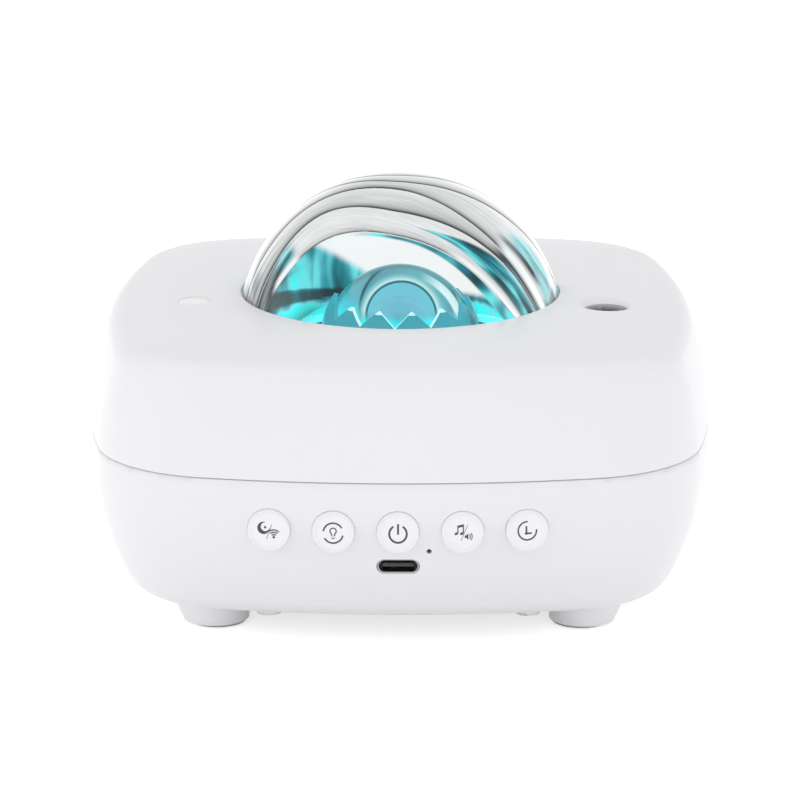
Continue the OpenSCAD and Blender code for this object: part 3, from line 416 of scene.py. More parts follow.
def star_symbol(bm):
    crescent(bm, (-1.15, 0.4), 1.1, 35)
    dot(bm, (-0.8, 0.55), 0.26)
    bar(bm, (-0.5, -1.9), (0.65, 1.2), 0.1)
    dot(bm, (1.05, -1.5), 0.27)
    for r in (0.65, 1.15, 1.65):
        arc_band(bm, (1.05, -1.6), r, 0.27, 48, 132, 10)


def lamp_symbol(bm):
    arc_band(bm, (-0.05, -0.3), 2.12, 0.34, 31, 170)
    arc_band(bm, (-0.05, -0.3), 2.12, 0.34, 211, 347)
    arc_band(bm, (-0.05, 0.1), 0.66, 0.25, -50, 230)
    for side in (-1, 1):
        bar(bm, (-0.05 + side * 0.42, -0.38), (-0.05 + side * 0.22, -0.98), 0.25)
    bar(bm, (-0.42, -1.4), (0.32, -1.4), 0.2)


def power_symbol(bm):
    arc_band(bm, (0, -0.36), 1.85, 0.42, 122, 418, 36)
    bar(bm, (0, -0.5), (0, 1.75), 0.42)


def sound_symbol(bm):
    bar(bm, (-1.02, -0.3), (-1.02, 1.15), 0.24)
    bar(bm, (0.12, -0.3), (0.12, 1.45), 0.24)
    bar(bm, (-1.14, 1.1), (0.24, 1.42), 0.5)
    for x in (-1.36, -0.22):
        dot(bm, (x, -0.36), 0.38, 0.75, 20)
    bar(bm, (-0.36, -1.9), (1.09, 1.55), 0.1)
    bar(bm, (0.42, -1.0), (0.78, -1.0), 0.5)
    bar(bm, (0.72, -1.0), (1.2, -1.0), 0.45, 1.35)
    for r in (0.75, 1.15):
        arc_band(bm, (0.85, -1.0), r, 0.2, -40, 40, 10)


def timer_symbol(bm):
    arc_band(bm, (0, -0.05), 1.95, 0.32, 88, 368, 36)
    bar(bm, (-0.2, -0.68), (-0.2, 0.95), 0.36)
    bar(bm, (-0.35, -0.6), (0.95, -0.6), 0.34)
    dot(bm, (-0.22, -0.62), 0.3)


symbols = dict(zip(key_names, (star_symbol, lamp_symbol, power_symbol, sound_symbol, timer_symbol)))
for place, name in enumerate(key_names):
    low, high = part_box(f"key_{name}")
    x = (place - (len(key_names) - 1) / 2) * key_pitch
    yaw = math.asin(x / side_bulge_r)
    face_y = low.y + face_set_back
    brim_front = high.y - brim_t
    bm = bmesh.new()
    radii = [cap_r * i / profile_steps for i in range(profile_steps + 1)]
    points = [bm.verts.new((r, dish_y(r), 0)) for r in radii]
    outline = [bm.edges.new(pair) for pair in zip(points, points[1:])]
    bmesh.ops.spin(
        bm, geom=points + outline, cent=(0, 0, 0), axis=(0, 1, 0), angle=math.tau, steps=64, use_merge=True
    )
    bmesh.ops.remove_doubles(bm, verts=bm.verts, dist=0.002 * mm)
    for v in bm.verts:
        v.co = lean(v.co, face_y, yaw)
    rim = [e for e in bm.edges if e.is_boundary]
    for r, y in ((cap_r, brim_front), (brim_r, brim_front), (brim_r, high.y), (0.5 * cap_r, high.y)):
        geom = bmesh.ops.extrude_edge_only(bm, edges=rim)["geom"]
        for v in verts_of(geom):
            away = Vector((v.co.x, 0, v.co.z)).normalized() * r
            v.co = Vector((away.x, y, away.z))
        rim = edges_of(geom)
    bmesh.ops.contextual_create(bm, geom=rim)
    bmesh.ops.recalc_face_normals(bm, faces=bm.faces)
    bmesh.ops.translate(bm, verts=bm.verts, vec=(x, 0, key_height))
    cap = add_piece(f"key_cap_{name}", bm, key_white, f"{name}_key", [f"key_{name}"])
    shade_by_angle(cap, 40)

    bm = bmesh.new()
    symbols[name](bm)
    bmesh.ops.remove_doubles(bm, verts=bm.verts, dist=0.001 * mm)
    for v in bm.verts:
        v.co.y = dish_y(math.hypot(v.co.x, v.co.z)) + print_height
        v.co = lean(v.co, face_y, yaw)
    bmesh.ops.recalc_face_normals(bm, faces=bm.faces)
    bmesh.ops.reverse_faces(bm, faces=[f for f in bm.faces if f.normal.y > 0])
    geom = bmesh.ops.extrude_face_region(bm, geom=list(bm.faces), use_keep_orig=True)["geom"]
    bmesh.ops.translate(bm, verts=verts_of(geom), vec=(0, -2 * print_height, 0))
    bmesh.ops.recalc_face_normals(bm, faces=bm.faces)
    bmesh.ops.translate(bm, verts=bm.verts, vec=(x, 0, key_height))
    add_piece(f"key_print_{name}", bm, ink, f"{name}_key")

black_plastic = finish("black_nylon", (0.02, 0.02, 0.022), 0.45, 0.3 * mm, 0.01 * mm, colour_spread=0.2)
dress(black_plastic, "switches", *[f"stem_{name}" for name in key_names])


# Charging socket: a steel shell with dark nickel plating, and in it a tongue with two rows of contacts.
# It is soldered to the front edge of the main board.

socket_steel = finish(
    "socket_nickel", (0.3, 0.3, 0.31), 0.3, 0.2 * mm, 0.004 * mm, colour_spread=0.2, Metallic=1
)
tongue_grey = finish("tongue_grey", (0.03, 0.03, 0.033), 0.35, 0.2 * mm, 0.004 * mm, colour_spread=0.2)
contact_gold = finish("contact_gold", (0.8, 0.6, 0.3), 0.25, 0.2 * mm, 0.002 * mm, Metallic=1)
dress(socket_steel, "charge_socket")
dress(tongue_grey, "charge_tongue")
tongue_low, tongue_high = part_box("charge_tongue")
contacts_in_row = 12
contact_pitch = 0.5 * mm
contact_size = Vector((0.26, 3.5, 0.08)) * mm
contact_middle = tongue_low.y + 0.5 * mm + contact_size.y / 2
bm = bmesh.new()
for i in range(contacts_in_row):
    for top in (tongue_low.z, tongue_high.z):
        place = Vector(((i - (contacts_in_row - 1) / 2) * contact_pitch, contact_middle, top))
        made = bmesh.ops.create_cube(bm, size=1, matrix=Matrix.Translation(place))
        bmesh.ops.scale(bm, verts=made["verts"], vec=contact_size, space=Matrix.Translation(-place))
add_piece("socket_contacts", bm, contact_gold, "housing")


# Dome: a clear moulded hemisphere, smooth outside. Inside, its wall swells and thins in ripples
# that run like tide lines round an axis to the front. Along each line the glass is painted with shade and
# light, from dark in its valley through grey to white; parts of the wall glow with painted light, and low
# down painted pools of the lamps' cyan and painted white gleams lie between the lines.

dome_centre = Vector((0, 0, 55.2)) * mm
dome_r = 37 * mm
dome_wall = 2.4 * mm
inner_r = dome_r - dome_wall
wall_ior = 1.47
skirt_low = 51.7 * mm
skirt_rings = (54.6 * mm, 54 * mm, 53.4 * mm, 52.8 * mm, 52.2 * mm, skirt_low)
flange_top = 53.7 * mm
flange_r = 41 * mm
ripple_height = 0.05 * mm
swell_rise = 4 * mm

# Angles of the tide lines from the front axis, outwards, at evenly spaced turns round it, in degrees.
line_turns = (-90, -60, -30, 0, 30, 60, 90)
tide_lines = (
    (61, 59.6, 58.4, 50.8, 47, 47.3, 55),
    (66, 68.5, 72.6, 62.2, 59.2, 60, 64),
    (76, 81, 83.8, 75.8, 65.8, 63, 68),
    (90, 92, 93, 82.2, 83, 88, 92),
    (99, 99, 98, 89, 94, 97, 98),
    (108, 108, 106, 101, 105, 108, 108),
    (116, 115, 116, 112, 116, 116, 116),
    (126, 124, 127, 122, 126, 128, 126),
    (137, 133, 138, 133, 137, 139, 137),
)
ripples = len(tide_lines) + 1

# Angles from the view between which the outer face carries the painted lines, and from which its back has its
# own.
outline_lines = (54, 60, 90, 94)
rear_lines = (94, 99)
# How far off the middle each half's painted glow is full, as a share of the radius.
half_fade = 0.12


def smooth_step(value, low, high):
    """0 up to low, 1 from high on, and a smooth rise between them, or the other way round."""
    share = min(max((value - low) / (high - low), 0), 1)
    return share * share * (3 - 2 * share)


def window(value, start, full, last, end):
    """1 from full to last, with a smooth rise from start and a smooth fall to end."""
    return smooth_step(value, start, full) * smooth_step(value, end, last)


def along(path, place):
    """Height of a smooth curve through evenly spaced points, at a place counted in their spaces."""
    step = min(int(place), len(path) - 2)
    t = place - step
    before, a, b, after = (path[min(max(step + i, 0), len(path) - 1)] for i in (-1, 0, 1, 2))
    return a + t * (b - before) / 2 + t * t * (before - 2.5 * a + 2 * b - after / 2) + t**3 * (
        1.5 * (a - b) + (after - before) / 2
    )


def turn_of(direction):
    """Turn of a direction round the front axis, in degrees from upright, towards the right."""
    return min(max(math.degrees(math.atan2(direction.x, direction.z)), -89.9), 89.9)


def ripple_place(direction):
    """How many tide lines lie between the front axis and a direction, and the angle to the next one."""
    angle = math.degrees(math.acos(max(-1, min(1, -direction.y))))
    place = (turn_of(direction) - line_turns[0]) / (line_turns[1] - line_turns[0])
    lines = [0] + [along(path, place) for path in tide_lines] + [180.01]
    for i, (a, b) in enumerate(zip(lines, lines[1:])):
        if angle < b:
            return i + (angle - a) / (b - a), b - a
    return ripples, 1


def front_light(line, turn):
    """Painted lamp light, its depth from cyan to black, and painted white gleam in the front half of the
    wall.
    """
    grow = smooth_step(turn, 8, 48)
    inside = 0.06 * smooth_step(turn, 0, 55)
    left = smooth_step(-turn, 44, 49)
    # Painted pools of the lamps' cyan light, each with its mask and how dark its colour runs.
    pools = (
        # Past the first line from the middle to the right, wider as it goes.
        (window(line, 1.46 - 0.26 * grow, 1.5 - 0.16 * grow, 1.5 + 0.4 * grow, 1.56 + 0.42 * grow)
         * smooth_step(turn, 4, 14), 0.42 - 0.14 * smooth_step(turn, 30, 10)),
        # Low on the right, past the second line and the third.
        (window(line, 2.03, 2.1, 2.7, 2.98) * smooth_step(turn, 38, 48), 0.8),
        (window(line, 3.2, 3.38, 3.6, 3.8) * smooth_step(turn, 42, 50) * 0.75, 0.2),
        (window(line, 3.2, 3.26, 3.32, 3.4) * window(turn, 38, 46, 60, 68), 0.85),
        # A thread along the inside of the first line.
        (window(line, 0.955 - inside, 0.975 - inside, 0.985, 0.999) * smooth_step(turn, -24, -8),
         0.35 + 0.35 * window(turn, 18, 34, 42, 52) - 0.25 * smooth_step(turn, 48, 56)),
        # Low on the left, past the first line and the second.
        (window(line, 1.22, 1.4, 1.93, 1.99) * left, 0.4 + 0.4 * smooth_step(-turn, 52, 60)),
        (window(line, 1.02, 1.1, 1.9, 1.99) * smooth_step(-turn, 58, 63), 0.85),
        (window(line, 2.1, 2.4, 2.85, 2.95) * smooth_step(-turn, 60, 68) * 0.6, 0.7),
    )
    lamp, depth = max(pools)
    # Painted white highlights just past the first line and the third.
    gleam = max(
        window(line, 0.995, 1.02, 1.1, 1.22) * smooth_step(turn, 18, 34),
        window(line, 2.99, 3.03, 3.12, 3.2) * smooth_step(turn, 40, 48),
        window(line, 0.99, 1.02, 1.12, 1.26) * left * smooth_step(-turn, 66, 60),
    )
    return lamp, depth, gleam


def back_light(x, z):
    """The same painted light for the back half: cyan over the rim, a dark band of shade, then patches that
    rise to the left.
    """
    edge = 59.5 + 0.76 * max(-6 - x, 0)
    dark_top = 57.3 + 0.17 * max(-13 - x, 0)
    patches = smooth_step(x, -4, -9) * smooth_step(z, edge + 1.4, edge - 1.4)
    low = smooth_step(z, 57.6, 55.8)
    depth = 0.36
    if z < dark_top + 0.6:
        depth += 0.6 * smooth_step(z, dark_top + 0.6, dark_top - 0.6) * smooth_step(x, -7, -12)
    if z < 56.2:
        depth = 0.5 - 0.65 * smooth_step(z, 56.2, 53.5)
    return max(patches, low), depth, 0


def spun_dome(r, u_segments, v_segments):
    """Upper half of a sphere about the dome's centre, with its poles to the front and the back."""
    bm = bmesh.new()
    to_front = Matrix.Rotation(math.radians(90), 4, "X")
    bmesh.ops.create_uvsphere(bm, u_segments=u_segments, v_segments=v_segments, radius=r, matrix=to_front)
    bmesh.ops.bisect_plane(
        bm, geom=bm.verts[:] + bm.edges[:] + bm.faces[:], dist=1e-6,
        plane_co=(0, 0, 0), plane_no=(0, 0, 1), clear_inner=True,
    )
    return bm


def extrude_ring(bm, rim, r, z):
    """Carries an open rim on to a circle of radius r at height z, and gives back the new rim."""
    geom = bmesh.ops.extrude_edge_only(bm, edges=rim)["geom"]
    ring = verts_of(geom)
    for v in ring:
        away = Vector((v.co.x, v.co.y, 0)).normalized() * r
        v.co = Vector((away.x, away.y, z))
    return [e for e in edges_of(geom) if all(v in ring for v in e.verts)]


def face_away(bm, centre, outwards):
    """Turns all faces away from a centre, or towards it."""
    bmesh.ops.recalc_face_normals(bm, faces=bm.faces)
    facing = sum(f.normal.dot(f.calc_center_median() - centre) * f.calc_area() for f in bm.faces)
    if (facing > 0) != outwards:
        bmesh.ops.reverse_faces(bm, faces=bm.faces)


def light_of(direction, place, front):
    """Line value, its band and turn, and its painted light and shade, for a spot of the wall."""
    line, band = ripple_place(direction) if place.z > 0 else (0.5, 60)
    turn = turn_of(direction)
    x, height = place.x / mm, place.z / mm
    if front > 0:
        lamp, depth, gleam = front_light(line, turn)
        lamp, gleam, own = lamp * front, gleam * front, front * smooth_step(line, 1, 1.02)
    else:
        lamp, depth, gleam = back_light(x, height + dome_centre.z / mm)
        own = 0.97 * smooth_step(direction.y, 0, half_fade)
    # Painted dark shade low at both ends of the wall.
    at_side = 0.85 * smooth_step(height, 12.5, 8.5) * smooth_step(abs(x), 29, 32.5)
    return line, band, turn / 90, own, max(lamp, at_side), depth + (0.9 - depth) * at_side, gleam


def painted_layers(bm):
    names = ("inner", "ripple", "band", "turn", "own", "lamp", "depth", "gleam")
    return [bm.verts.layers.float.new(name) for name in names]


def paint(v, layers, values):
    for layer, value in zip(layers, values):
        v[layer] = value


# Towards its outline the wall is seen edge on, so there its outer face carries the painted lines and light,
# each where the one behind it shows through the wall's bend. The back of the outer face has them where they
# are.
facing = (camera.location - dome_centre).normalized()
bm = spun_dome(dome_r, 120, 480)
layers = painted_layers(bm)
rim = [e for e in bm.edges if e.is_boundary]
for r, z in ((dome_r, flange_top), (flange_r, flange_top), (flange_r, skirt_low), (inner_r, skirt_low)):
    rim = extrude_ring(bm, rim, r, z - dome_centre.z)
for v in [v for v in bm.verts if v.co.z > -0.001 * mm]:
    direction = v.co.normalized()
    angle = math.degrees(direction.angle(facing))
    cover = window(angle, *outline_lines)
    if cover > 0:
        leaning = math.sin(math.radians(angle)) / wall_ior
        bend = math.asin(leaning * dome_r / inner_r) - math.asin(leaning)
        behind = direction.copy()
        behind.rotate(Quaternion(direction.cross(facing).normalized(), -bend))
        paint(v, layers, (0, *light_of(behind, v.co, cover)))
    else:
        rear = smooth_step(angle, *rear_lines)
        low = 0.7 * rear * smooth_step(v.co.z / mm, 13, 6)
        paint(v, layers, (0, *ripple_place(direction), turn_of(direction) / 90, 0.85 * rear, low, 0.25, 0))
bmesh.ops.translate(bm, verts=bm.verts, vec=dome_centre)
face_away(bm, dome_centre, True)
outside = bpy.data.meshes.new("dome_outside")
bm.to_mesh(outside)
bm.free()

bm = spun_dome(inner_r, 240, 480)
layers = painted_layers(bm)
rim = [e for e in bm.edges if e.is_boundary]
for z in skirt_rings:
    rim = extrude_ring(bm, rim, inner_r, z - dome_centre.z)
for v in bm.verts:
    direction = v.co.normalized()
    light = light_of(direction, v.co, smooth_step(-direction.y, 0, half_fade))
    paint(v, layers, (1, *light))
    line = light[0]
    if v.co.z > 0 and 1 < line < ripples - 1:
        swell = math.sin(math.pi * (line % 1)) ** 2
        v.co = direction * (inner_r - ripple_height * swell * min(1, v.co.z / swell_rise))
bmesh.ops.translate(bm, verts=bm.verts, vec=dome_centre)
face_away(bm, dome_centre, False)
bm.from_mesh(outside)
bmesh.ops.remove_doubles(bm, verts=bm.verts, dist=0.01 * mm)


def clear_glass(name, ior):
    """Smooth glass of one refractive index, its tree of nodes and its shader."""
    made, tree, shader = new_material(name)
    shader.inputs["Transmission Weight"].default_value = 1
    shader.inputs["Roughness"].default_value = 0.0
    shader.inputs["IOR"].default_value = ior
    return made, tree, shader


def attribute(tree, name):
    node = tree.nodes.new("ShaderNodeAttribute")
    node.attribute_name = name
    return node.outputs["Fac"]


def times(tree, a, b):
    return maths(tree, "MULTIPLY", a, b)


def colour_ramp(tree, value, stops):
    """Colour of a value from 0 to 1, between stops that give a place and a colour."""
    node = tree.nodes.new("ShaderNodeValToRGB")
    ramp = node.color_ramp
    while len(ramp.elements) < len(stops):
        ramp.elements.new(1)
    for element, (at, colour) in zip(ramp.elements, stops):
        element.position = at
        element.color = (*colour, 1) if isinstance(colour, tuple) else (colour, colour, colour, 1)
    tree.links.new(value, node.inputs["Fac"])
    return node.outputs["Color"]


def vector_of(tree, x, y, z):
    node = tree.nodes.new("ShaderNodeCombineXYZ")
    feed(tree, node.inputs, (x, y, z))
    return node.outputs[0]


def noise_over(tree, x, y, z, detail=2.0, distortion=0.0):
    """Noise of the size 1 over three values."""
    noise = tree.nodes.new("ShaderNodeTexNoise")
    noise.inputs["Scale"].default_value = 1
    noise.inputs["Detail"].default_value = detail
    noise.inputs["Distortion"].default_value = distortion
    tree.links.new(vector_of(tree, x, y, z), noise.inputs["Vector"])
    return noise.outputs["Fac"]


def glow(tree, colour, light):
    """Links a shader's own colour, and the painted light that it gives off."""
    shader = tree.nodes["Principled BSDF"]
    tree.links.new(colour, shader.inputs["Base Color"])
    tree.links.new(light, shader.inputs["Emission Color"])
    shader.inputs["Emission Strength"].default_value = 1


dome_glass, tree, shader = clear_glass("dome_glass", wall_ior)
shader.inputs["Specular IOR Level"].default_value = 0.25
line_value = attribute(tree, "ripple")
turn_value = attribute(tree, "turn")
line_share = maths(tree, "DIVIDE", line_value, ripples)

# How light the wall is painted past each line.
band_tones = ((1, 0.93), (2, 0.86), (3, 0.88), (4, 0.9), (5, 0.93))
tone_stops = [(n + at, tone) for n, tone in band_tones for at in (0.0, 0.6)]
tone_stops = [(0.0, 1.0), (0.99, 1.0)] + tone_stops + [(6.5, 0.9)]
band_shade = colour_ramp(tree, line_share, [(at / ripples, tone) for at, tone in tone_stops])

# How strong each line's painted shade is, and how fast it fades. A colour's red keeps the first and its
# green half the second, and the last pair holds for all later lines.
line_kinds = ((1, 0.95, 1.3), (2, 1.0, 0.5), (3, 1.0, 0.5), (4, 1.0, 0.65), (5, 0.97, 0.75), (6, 0.9, 0.6))
kind_stops = [(0.0, (0, 0.5, 0)), (0.998, (0, 0.5, 0))]
for n, strength, pace in line_kinds:
    kind = (strength, pace / 2, 0)
    kind_stops += [(n - 0.001, kind), (n + 0.998, kind)]
line_kind = tree.nodes.new("ShaderNodeSeparateColor")
kind_colour = colour_ramp(tree, line_share, [(at / ripples, kind) for at, kind in kind_stops])
tree.links.new(kind_colour, line_kind.inputs[0])

fade_reach = 12
past_line = times(tree, maths(tree, "FRACT", line_value), attribute(tree, "band"))
past_line = times(tree, times(tree, past_line, line_kind.outputs["Green"]), 2 / fade_reach)
valley_painted_shade = colour_ramp(
    tree, past_line, [(0.0, 1.0), (0.03, 0.9), (0.07, 0.5), (0.15, 0.22), (0.38, 0.07), (0.7, 0.0)]
)
valley_painted_shade = times(tree, valley_painted_shade, line_kind.outputs["Red"])
line_shade = mix_colours(tree, valley_painted_shade, band_shade, (0.01, 0.012, 0.013))
slanted = maths(tree, "MULTIPLY_ADD", line_value, 5, times(tree, turn_value, 4))
streaks = noise_over(tree, slanted, times(tree, turn_value, 2.5), 0, 2)
streak_shade = colour_ramp(tree, streaks, [(0.32, 0.8), (0.45, 1.0), (0.55, 0.88), (0.68, 1.0)])
past_first = maths(tree, "GREATER_THAN", line_value, 1.0)
line_shade = mix_colours(tree, past_first, line_shade, streak_shade, "MULTIPLY")

# Low on both sides the bands are painted as bundles of finer dark lines.
bundled = colour_ramp(tree, maths(tree, "ABSOLUTE", turn_value), [(0.5, 0.0), (0.66, 0.75)])
fine_value = maths(tree, "MULTIPLY_ADD", line_value, 3, times(tree, turn_value, 1.5))
fine_lines = colour_ramp(
    tree, maths(tree, "FRACT", fine_value),
    [(0.0, 0.12), (0.12, 0.55), (0.3, 1.0), (0.8, 1.0), (0.97, 0.7), (1.0, 0.12)],
)
fine_shade = mix_colours(tree, 1.0, line_shade, fine_lines, "MULTIPLY")
line_shade = mix_colours(tree, bundled, line_shade, fine_shade)

# Colour of the painted lamp light, from cyan to black, broken into streaks in front and bars at the back.
front_flow = noise_over(tree, times(tree, line_value, 5), times(tree, turn_value, 4), 0, 1.5, 0.3)
across, backwards, up = axes_of(tree, coordinates(tree))
back_bars = noise_over(tree, times(tree, across, 230), 3, times(tree, up, 45), 2, 0.3)
at_back = maths(tree, "GREATER_THAN", backwards, 0.0)
flow = maths(tree, "SUBTRACT", mix_colours(tree, at_back, front_flow, back_bars), 0.5)
painted_lamp_colour = colour_ramp(
    tree, maths(tree, "MULTIPLY_ADD", flow, 1.5, attribute(tree, "depth")),
    [
        (0.0, (0.02, 0.93, 0.93)), (0.15, (0.15, 0.72, 0.76)), (0.32, (0.06, 0.4, 0.46)),
        (0.45, (0.01, 0.22, 0.27)), (0.6, (0.006, 0.1, 0.12)), (0.78, (0.01, 0.018, 0.02)),
    ],
)

# The parts with painted light glow with it and hide what is behind them. The others are clear, and the
# painted shade of the lines tints them; glass takes the root of its colour at a face, so that colour is
# squared.
own = attribute(tree, "own")
lamp = attribute(tree, "lamp")
on_inner = attribute(tree, "inner")
black = (0.0, 0.0, 0.0)
own_shade = mix_colours(tree, 1.0, line_shade, (0.93, 0.95, 0.955), "MULTIPLY")
own_shade = mix_colours(tree, times(tree, at_back, on_inner), own_shade, (0.95, 0.96, 0.96))
own_light = mix_colours(tree, own, black, own_shade)
own_light = mix_colours(tree, lamp, own_light, painted_lamp_colour)
own_light = mix_colours(tree, attribute(tree, "gleam"), own_light, (0.9, 0.94, 0.95))
painted_shade_tint = mix_colours(tree, on_inner, (1.0, 1.0, 1.0), line_shade)
painted_shade_tint = mix_colours(tree, maths(tree, "MAXIMUM", own, lamp), painted_shade_tint, black)
glow(tree, mix_colours(tree, 1.0, painted_shade_tint, painted_shade_tint, "MULTIPLY"), own_light)


def let_lamps_through(material):
    """The studio's lamps shine through the glass to what is inside."""
    tree = material.node_tree
    path = tree.nodes.new("ShaderNodeLightPath")
    open_way = tree.nodes.new("ShaderNodeBsdfTransparent")
    choice = tree.nodes.new("ShaderNodeMixShader")
    tree.links.new(path.outputs["Is Shadow Ray"], choice.inputs[0])
    tree.links.new(tree.nodes["Principled BSDF"].outputs[0], choice.inputs[1])
    tree.links.new(open_way.outputs[0], choice.inputs[2])
    tree.links.new(choice.outputs[0], tree.nodes["Material Output"].inputs["Surface"])


let_lamps_through(dome_glass)
dome = add_piece("rippled_dome", bm, dome_glass, "housing", ["dome"])
shade_by_angle(dome, 50)


# Rotor: the ripple disc in its ring gear, with the solid bell lens on its middle and a zigzag crown
# round that. It turns slowly over the lamps, and their cyan light on it is painted on as a glow. All three
# are cast acrylic.

bell_glass, tree, shader = clear_glass("bell_glass", 1.15)
bell_low, bell_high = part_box("bell_lens")
across, backwards, up = axes_of(tree, coordinates(tree))
bell_height = maths(tree, "DIVIDE", maths(tree, "SUBTRACT", up, bell_low.z), bell_high.z - bell_low.z)
# The bell's glass is tinted almost black, and glows with painted light from cyan low down through teal to
# blue grey at the top, broken into bars.
bell_tint = colour_ramp(
    tree, bell_height,
    [(0.3, (0.02, 0.05, 0.05)), (0.65, (0.01, 0.013, 0.014)), (0.95, (0.008, 0.01, 0.011))],
)
bell_painted_light = colour_ramp(
    tree, bell_height,
    [
        (0.5, (0.01, 0.85, 0.9)), (0.66, (0.05, 0.6, 0.68)), (0.78, (0.12, 0.37, 0.45)),
        (1.0, (0.12, 0.26, 0.33)),
    ],
)
bell_bars = noise_over(tree, times(tree, across, 190), 0, times(tree, up, 40), 1.5, 0.4)
bar_tones = colour_ramp(tree, bell_bars, [(0.38, (0.55, 0.4, 0.42)), (0.5, 1.0), (0.66, (1.3, 1.1, 1.05))])
bell_painted_light = mix_colours(tree, 1.0, bell_painted_light, bar_tones, "MULTIPLY")

# Painted arches of highlight and shade that the bell shows to the front, in millimetres across and up as
# seen from a little above it. Each has its middle, its inner radius and its width, whether it shows on
# the right alone, and from its inside out the places, colours and cover of its bands.
bell_painted_arches = (
    ((1.9, 5.0), 0, 11.5, False, (
        (0.0, (0.12, 0.33, 0.39), 1), (0.7, (0.13, 0.36, 0.42), 1), (0.9, (0.09, 0.24, 0.29), 1),
        (0.92, (0.01, 0.04, 0.05), 1), (0.95, (0.01, 0.04, 0.05), 1), (0.98, (0.05, 0.14, 0.18), 0),
    )),
    ((0.3, 3.2), 0, 10, False, (
        (0.0, (0.15, 0.45, 0.58), 1), (0.74, (0.17, 0.5, 0.62), 1), (0.76, (0.01, 0.05, 0.07), 1),
        (0.79, (0.02, 0.1, 0.12), 1), (0.82, (0.6, 0.8, 0.8), 1), (0.88, (0.3, 0.58, 0.6), 1),
        (1.0, (0.13, 0.36, 0.42), 0),
    )),
    ((0.3, -0.6), 12.5, 2.4, True, (
        (0.0, (0.75, 0.9, 0.9), 0), (0.2, (0.75, 0.9, 0.9), 1), (0.75, (0.6, 0.8, 0.82), 1),
        (0.9, (0.02, 0.08, 0.1), 1), (1.0, (0.02, 0.08, 0.1), 0),
    )),
)
arch_base = 53.2
seen_depth = maths(tree, "MULTIPLY_ADD", backwards, 0.268 / mm, -arch_base)
seen_up = maths(tree, "MULTIPLY_ADD", up, 0.963 / mm, seen_depth)
spot = vector_of(tree, times(tree, across, 1 / mm), seen_up, 0)
over_foot = colour_ramp(tree, times(tree, seen_up, 0.1), [(0.2, 0.0), (0.45, 1.0)])
in_front = times(tree, over_foot, maths(tree, "LESS_THAN", backwards, 0.0))
on_right = colour_ramp(tree, times(tree, across, 50), [(0.22, 0.0), (0.45, 1.0)])


def distance(tree, place, point):
    node = tree.nodes.new("ShaderNodeVectorMath")
    node.operation = "DISTANCE"
    node.inputs[1].default_value = point
    tree.links.new(place, node.inputs[0])
    return node.outputs["Value"]


for middle, inner, width, right_only, bands in bell_painted_arches:
    past_inner = maths(tree, "SUBTRACT", distance(tree, spot, (*middle, 0)), inner)
    share = times(tree, past_inner, 1 / width)
    arch = colour_ramp(tree, share, [(at, colour) for at, colour, _ in bands])
    cover = colour_ramp(tree, share, [(at, shown) for at, _, shown in bands])
    cover = times(tree, cover, times(tree, in_front, on_right) if right_only else in_front)
    bell_painted_light = mix_colours(tree, cover, bell_painted_light, arch)
# A painted dark edge where the bell is seen edge on.
edge = tree.nodes.new("ShaderNodeLayerWeight")
edge.inputs["Blend"].default_value = 0.5
painted_edge_shade = colour_ramp(tree, edge.outputs["Facing"], [(0.6, 0.0), (0.76, 1.0)])
bell_tint = mix_colours(tree, painted_edge_shade, bell_tint, (0.02, 0.06, 0.07))
glow(tree, bell_tint, mix_colours(tree, painted_edge_shade, bell_painted_light, (0.004, 0.02, 0.025)))
let_lamps_through(bell_glass)
welded_copy("bell_lens", "bell", bell_glass, "rotor")

# The crown glows with painted teal light, and the upward faces of its teeth near the middle with painted
# white.
crown_teal, tree, shader = new_material("crown_teal")
shader.inputs["Roughness"].default_value = 0.25
slope_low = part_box("crown_lens")[1].z - 4.5 * mm
slope_half_w = 12.5 * mm
across, _, up = axes_of(tree, coordinates(tree))
slope = maths(tree, "GREATER_THAN", axes_of(tree, coordinates(tree, "Normal"))["Z"], 0.5)
slope = times(tree, slope, maths(tree, "GREATER_THAN", up, slope_low))
slope = times(tree, slope, maths(tree, "LESS_THAN", maths(tree, "ABSOLUTE", across), slope_half_w))
glow(
    tree, mix_colours(tree, slope, (0.05, 0.3, 0.37), (0.5, 0.75, 0.78)),
    mix_colours(tree, slope, (0.01, 0.22, 0.27), (0.45, 0.6, 0.6)),
)
dress(crown_teal, "crown_lens")

# The ripple disc and the dome's ring glow with painted cyan light, and the ring is painted pale cyan as lit.
disc_painted_cyan_glow = finish(
    "disc_painted_cyan_glow", (0.01, 0.6, 0.65), 0.3, 3 * mm, 0.2 * mm,
    Emission_Color=(0, 0.6, 0.65, 1), Emission_Strength=1,
)
ring_painted_cyan_glow = finish(
    "ring_painted_cyan_glow", (0.5, 0.75, 0.78), 0.5, 0.4 * mm, 0.02 * mm,
    Emission_Color=(0, 0.5, 0.55, 1), Emission_Strength=1,
)
dress(disc_painted_cyan_glow, "ripple_disc")
dress(ring_painted_cyan_glow, "dome_ring")


# Lamps: yellow resin over the chips of four light-emitting diodes, on a round aluminium-backed board
# under white solder mask, with a glossy white reflector round them.

lamp_board = finish("white_solder_mask", (0.74, 0.74, 0.71), 0.35, 0.6 * mm, 0.008 * mm)
lamp_resin = finish(
    "lamp_resin", (0.85, 0.62, 0.16), 0.28, 0.12 * mm, 0.004 * mm, Coat_Weight=0.5, Coat_Roughness=0.1
)
reflector_gloss = finish("gloss_white", (0.8, 0.8, 0.8), 0.14, 0.5 * mm, 0.002 * mm, colour_spread=0.01)
dress(lamp_board, "led_board")
dress(lamp_resin, "leds")
dress(reflector_gloss, "reflector")


# Chassis and drive: an injection-moulded nylon plate, screwed to posts under the lid, that carries the
# finned heat sink of the lamps, the rotor's steel axle and a small motor in a plated steel can.

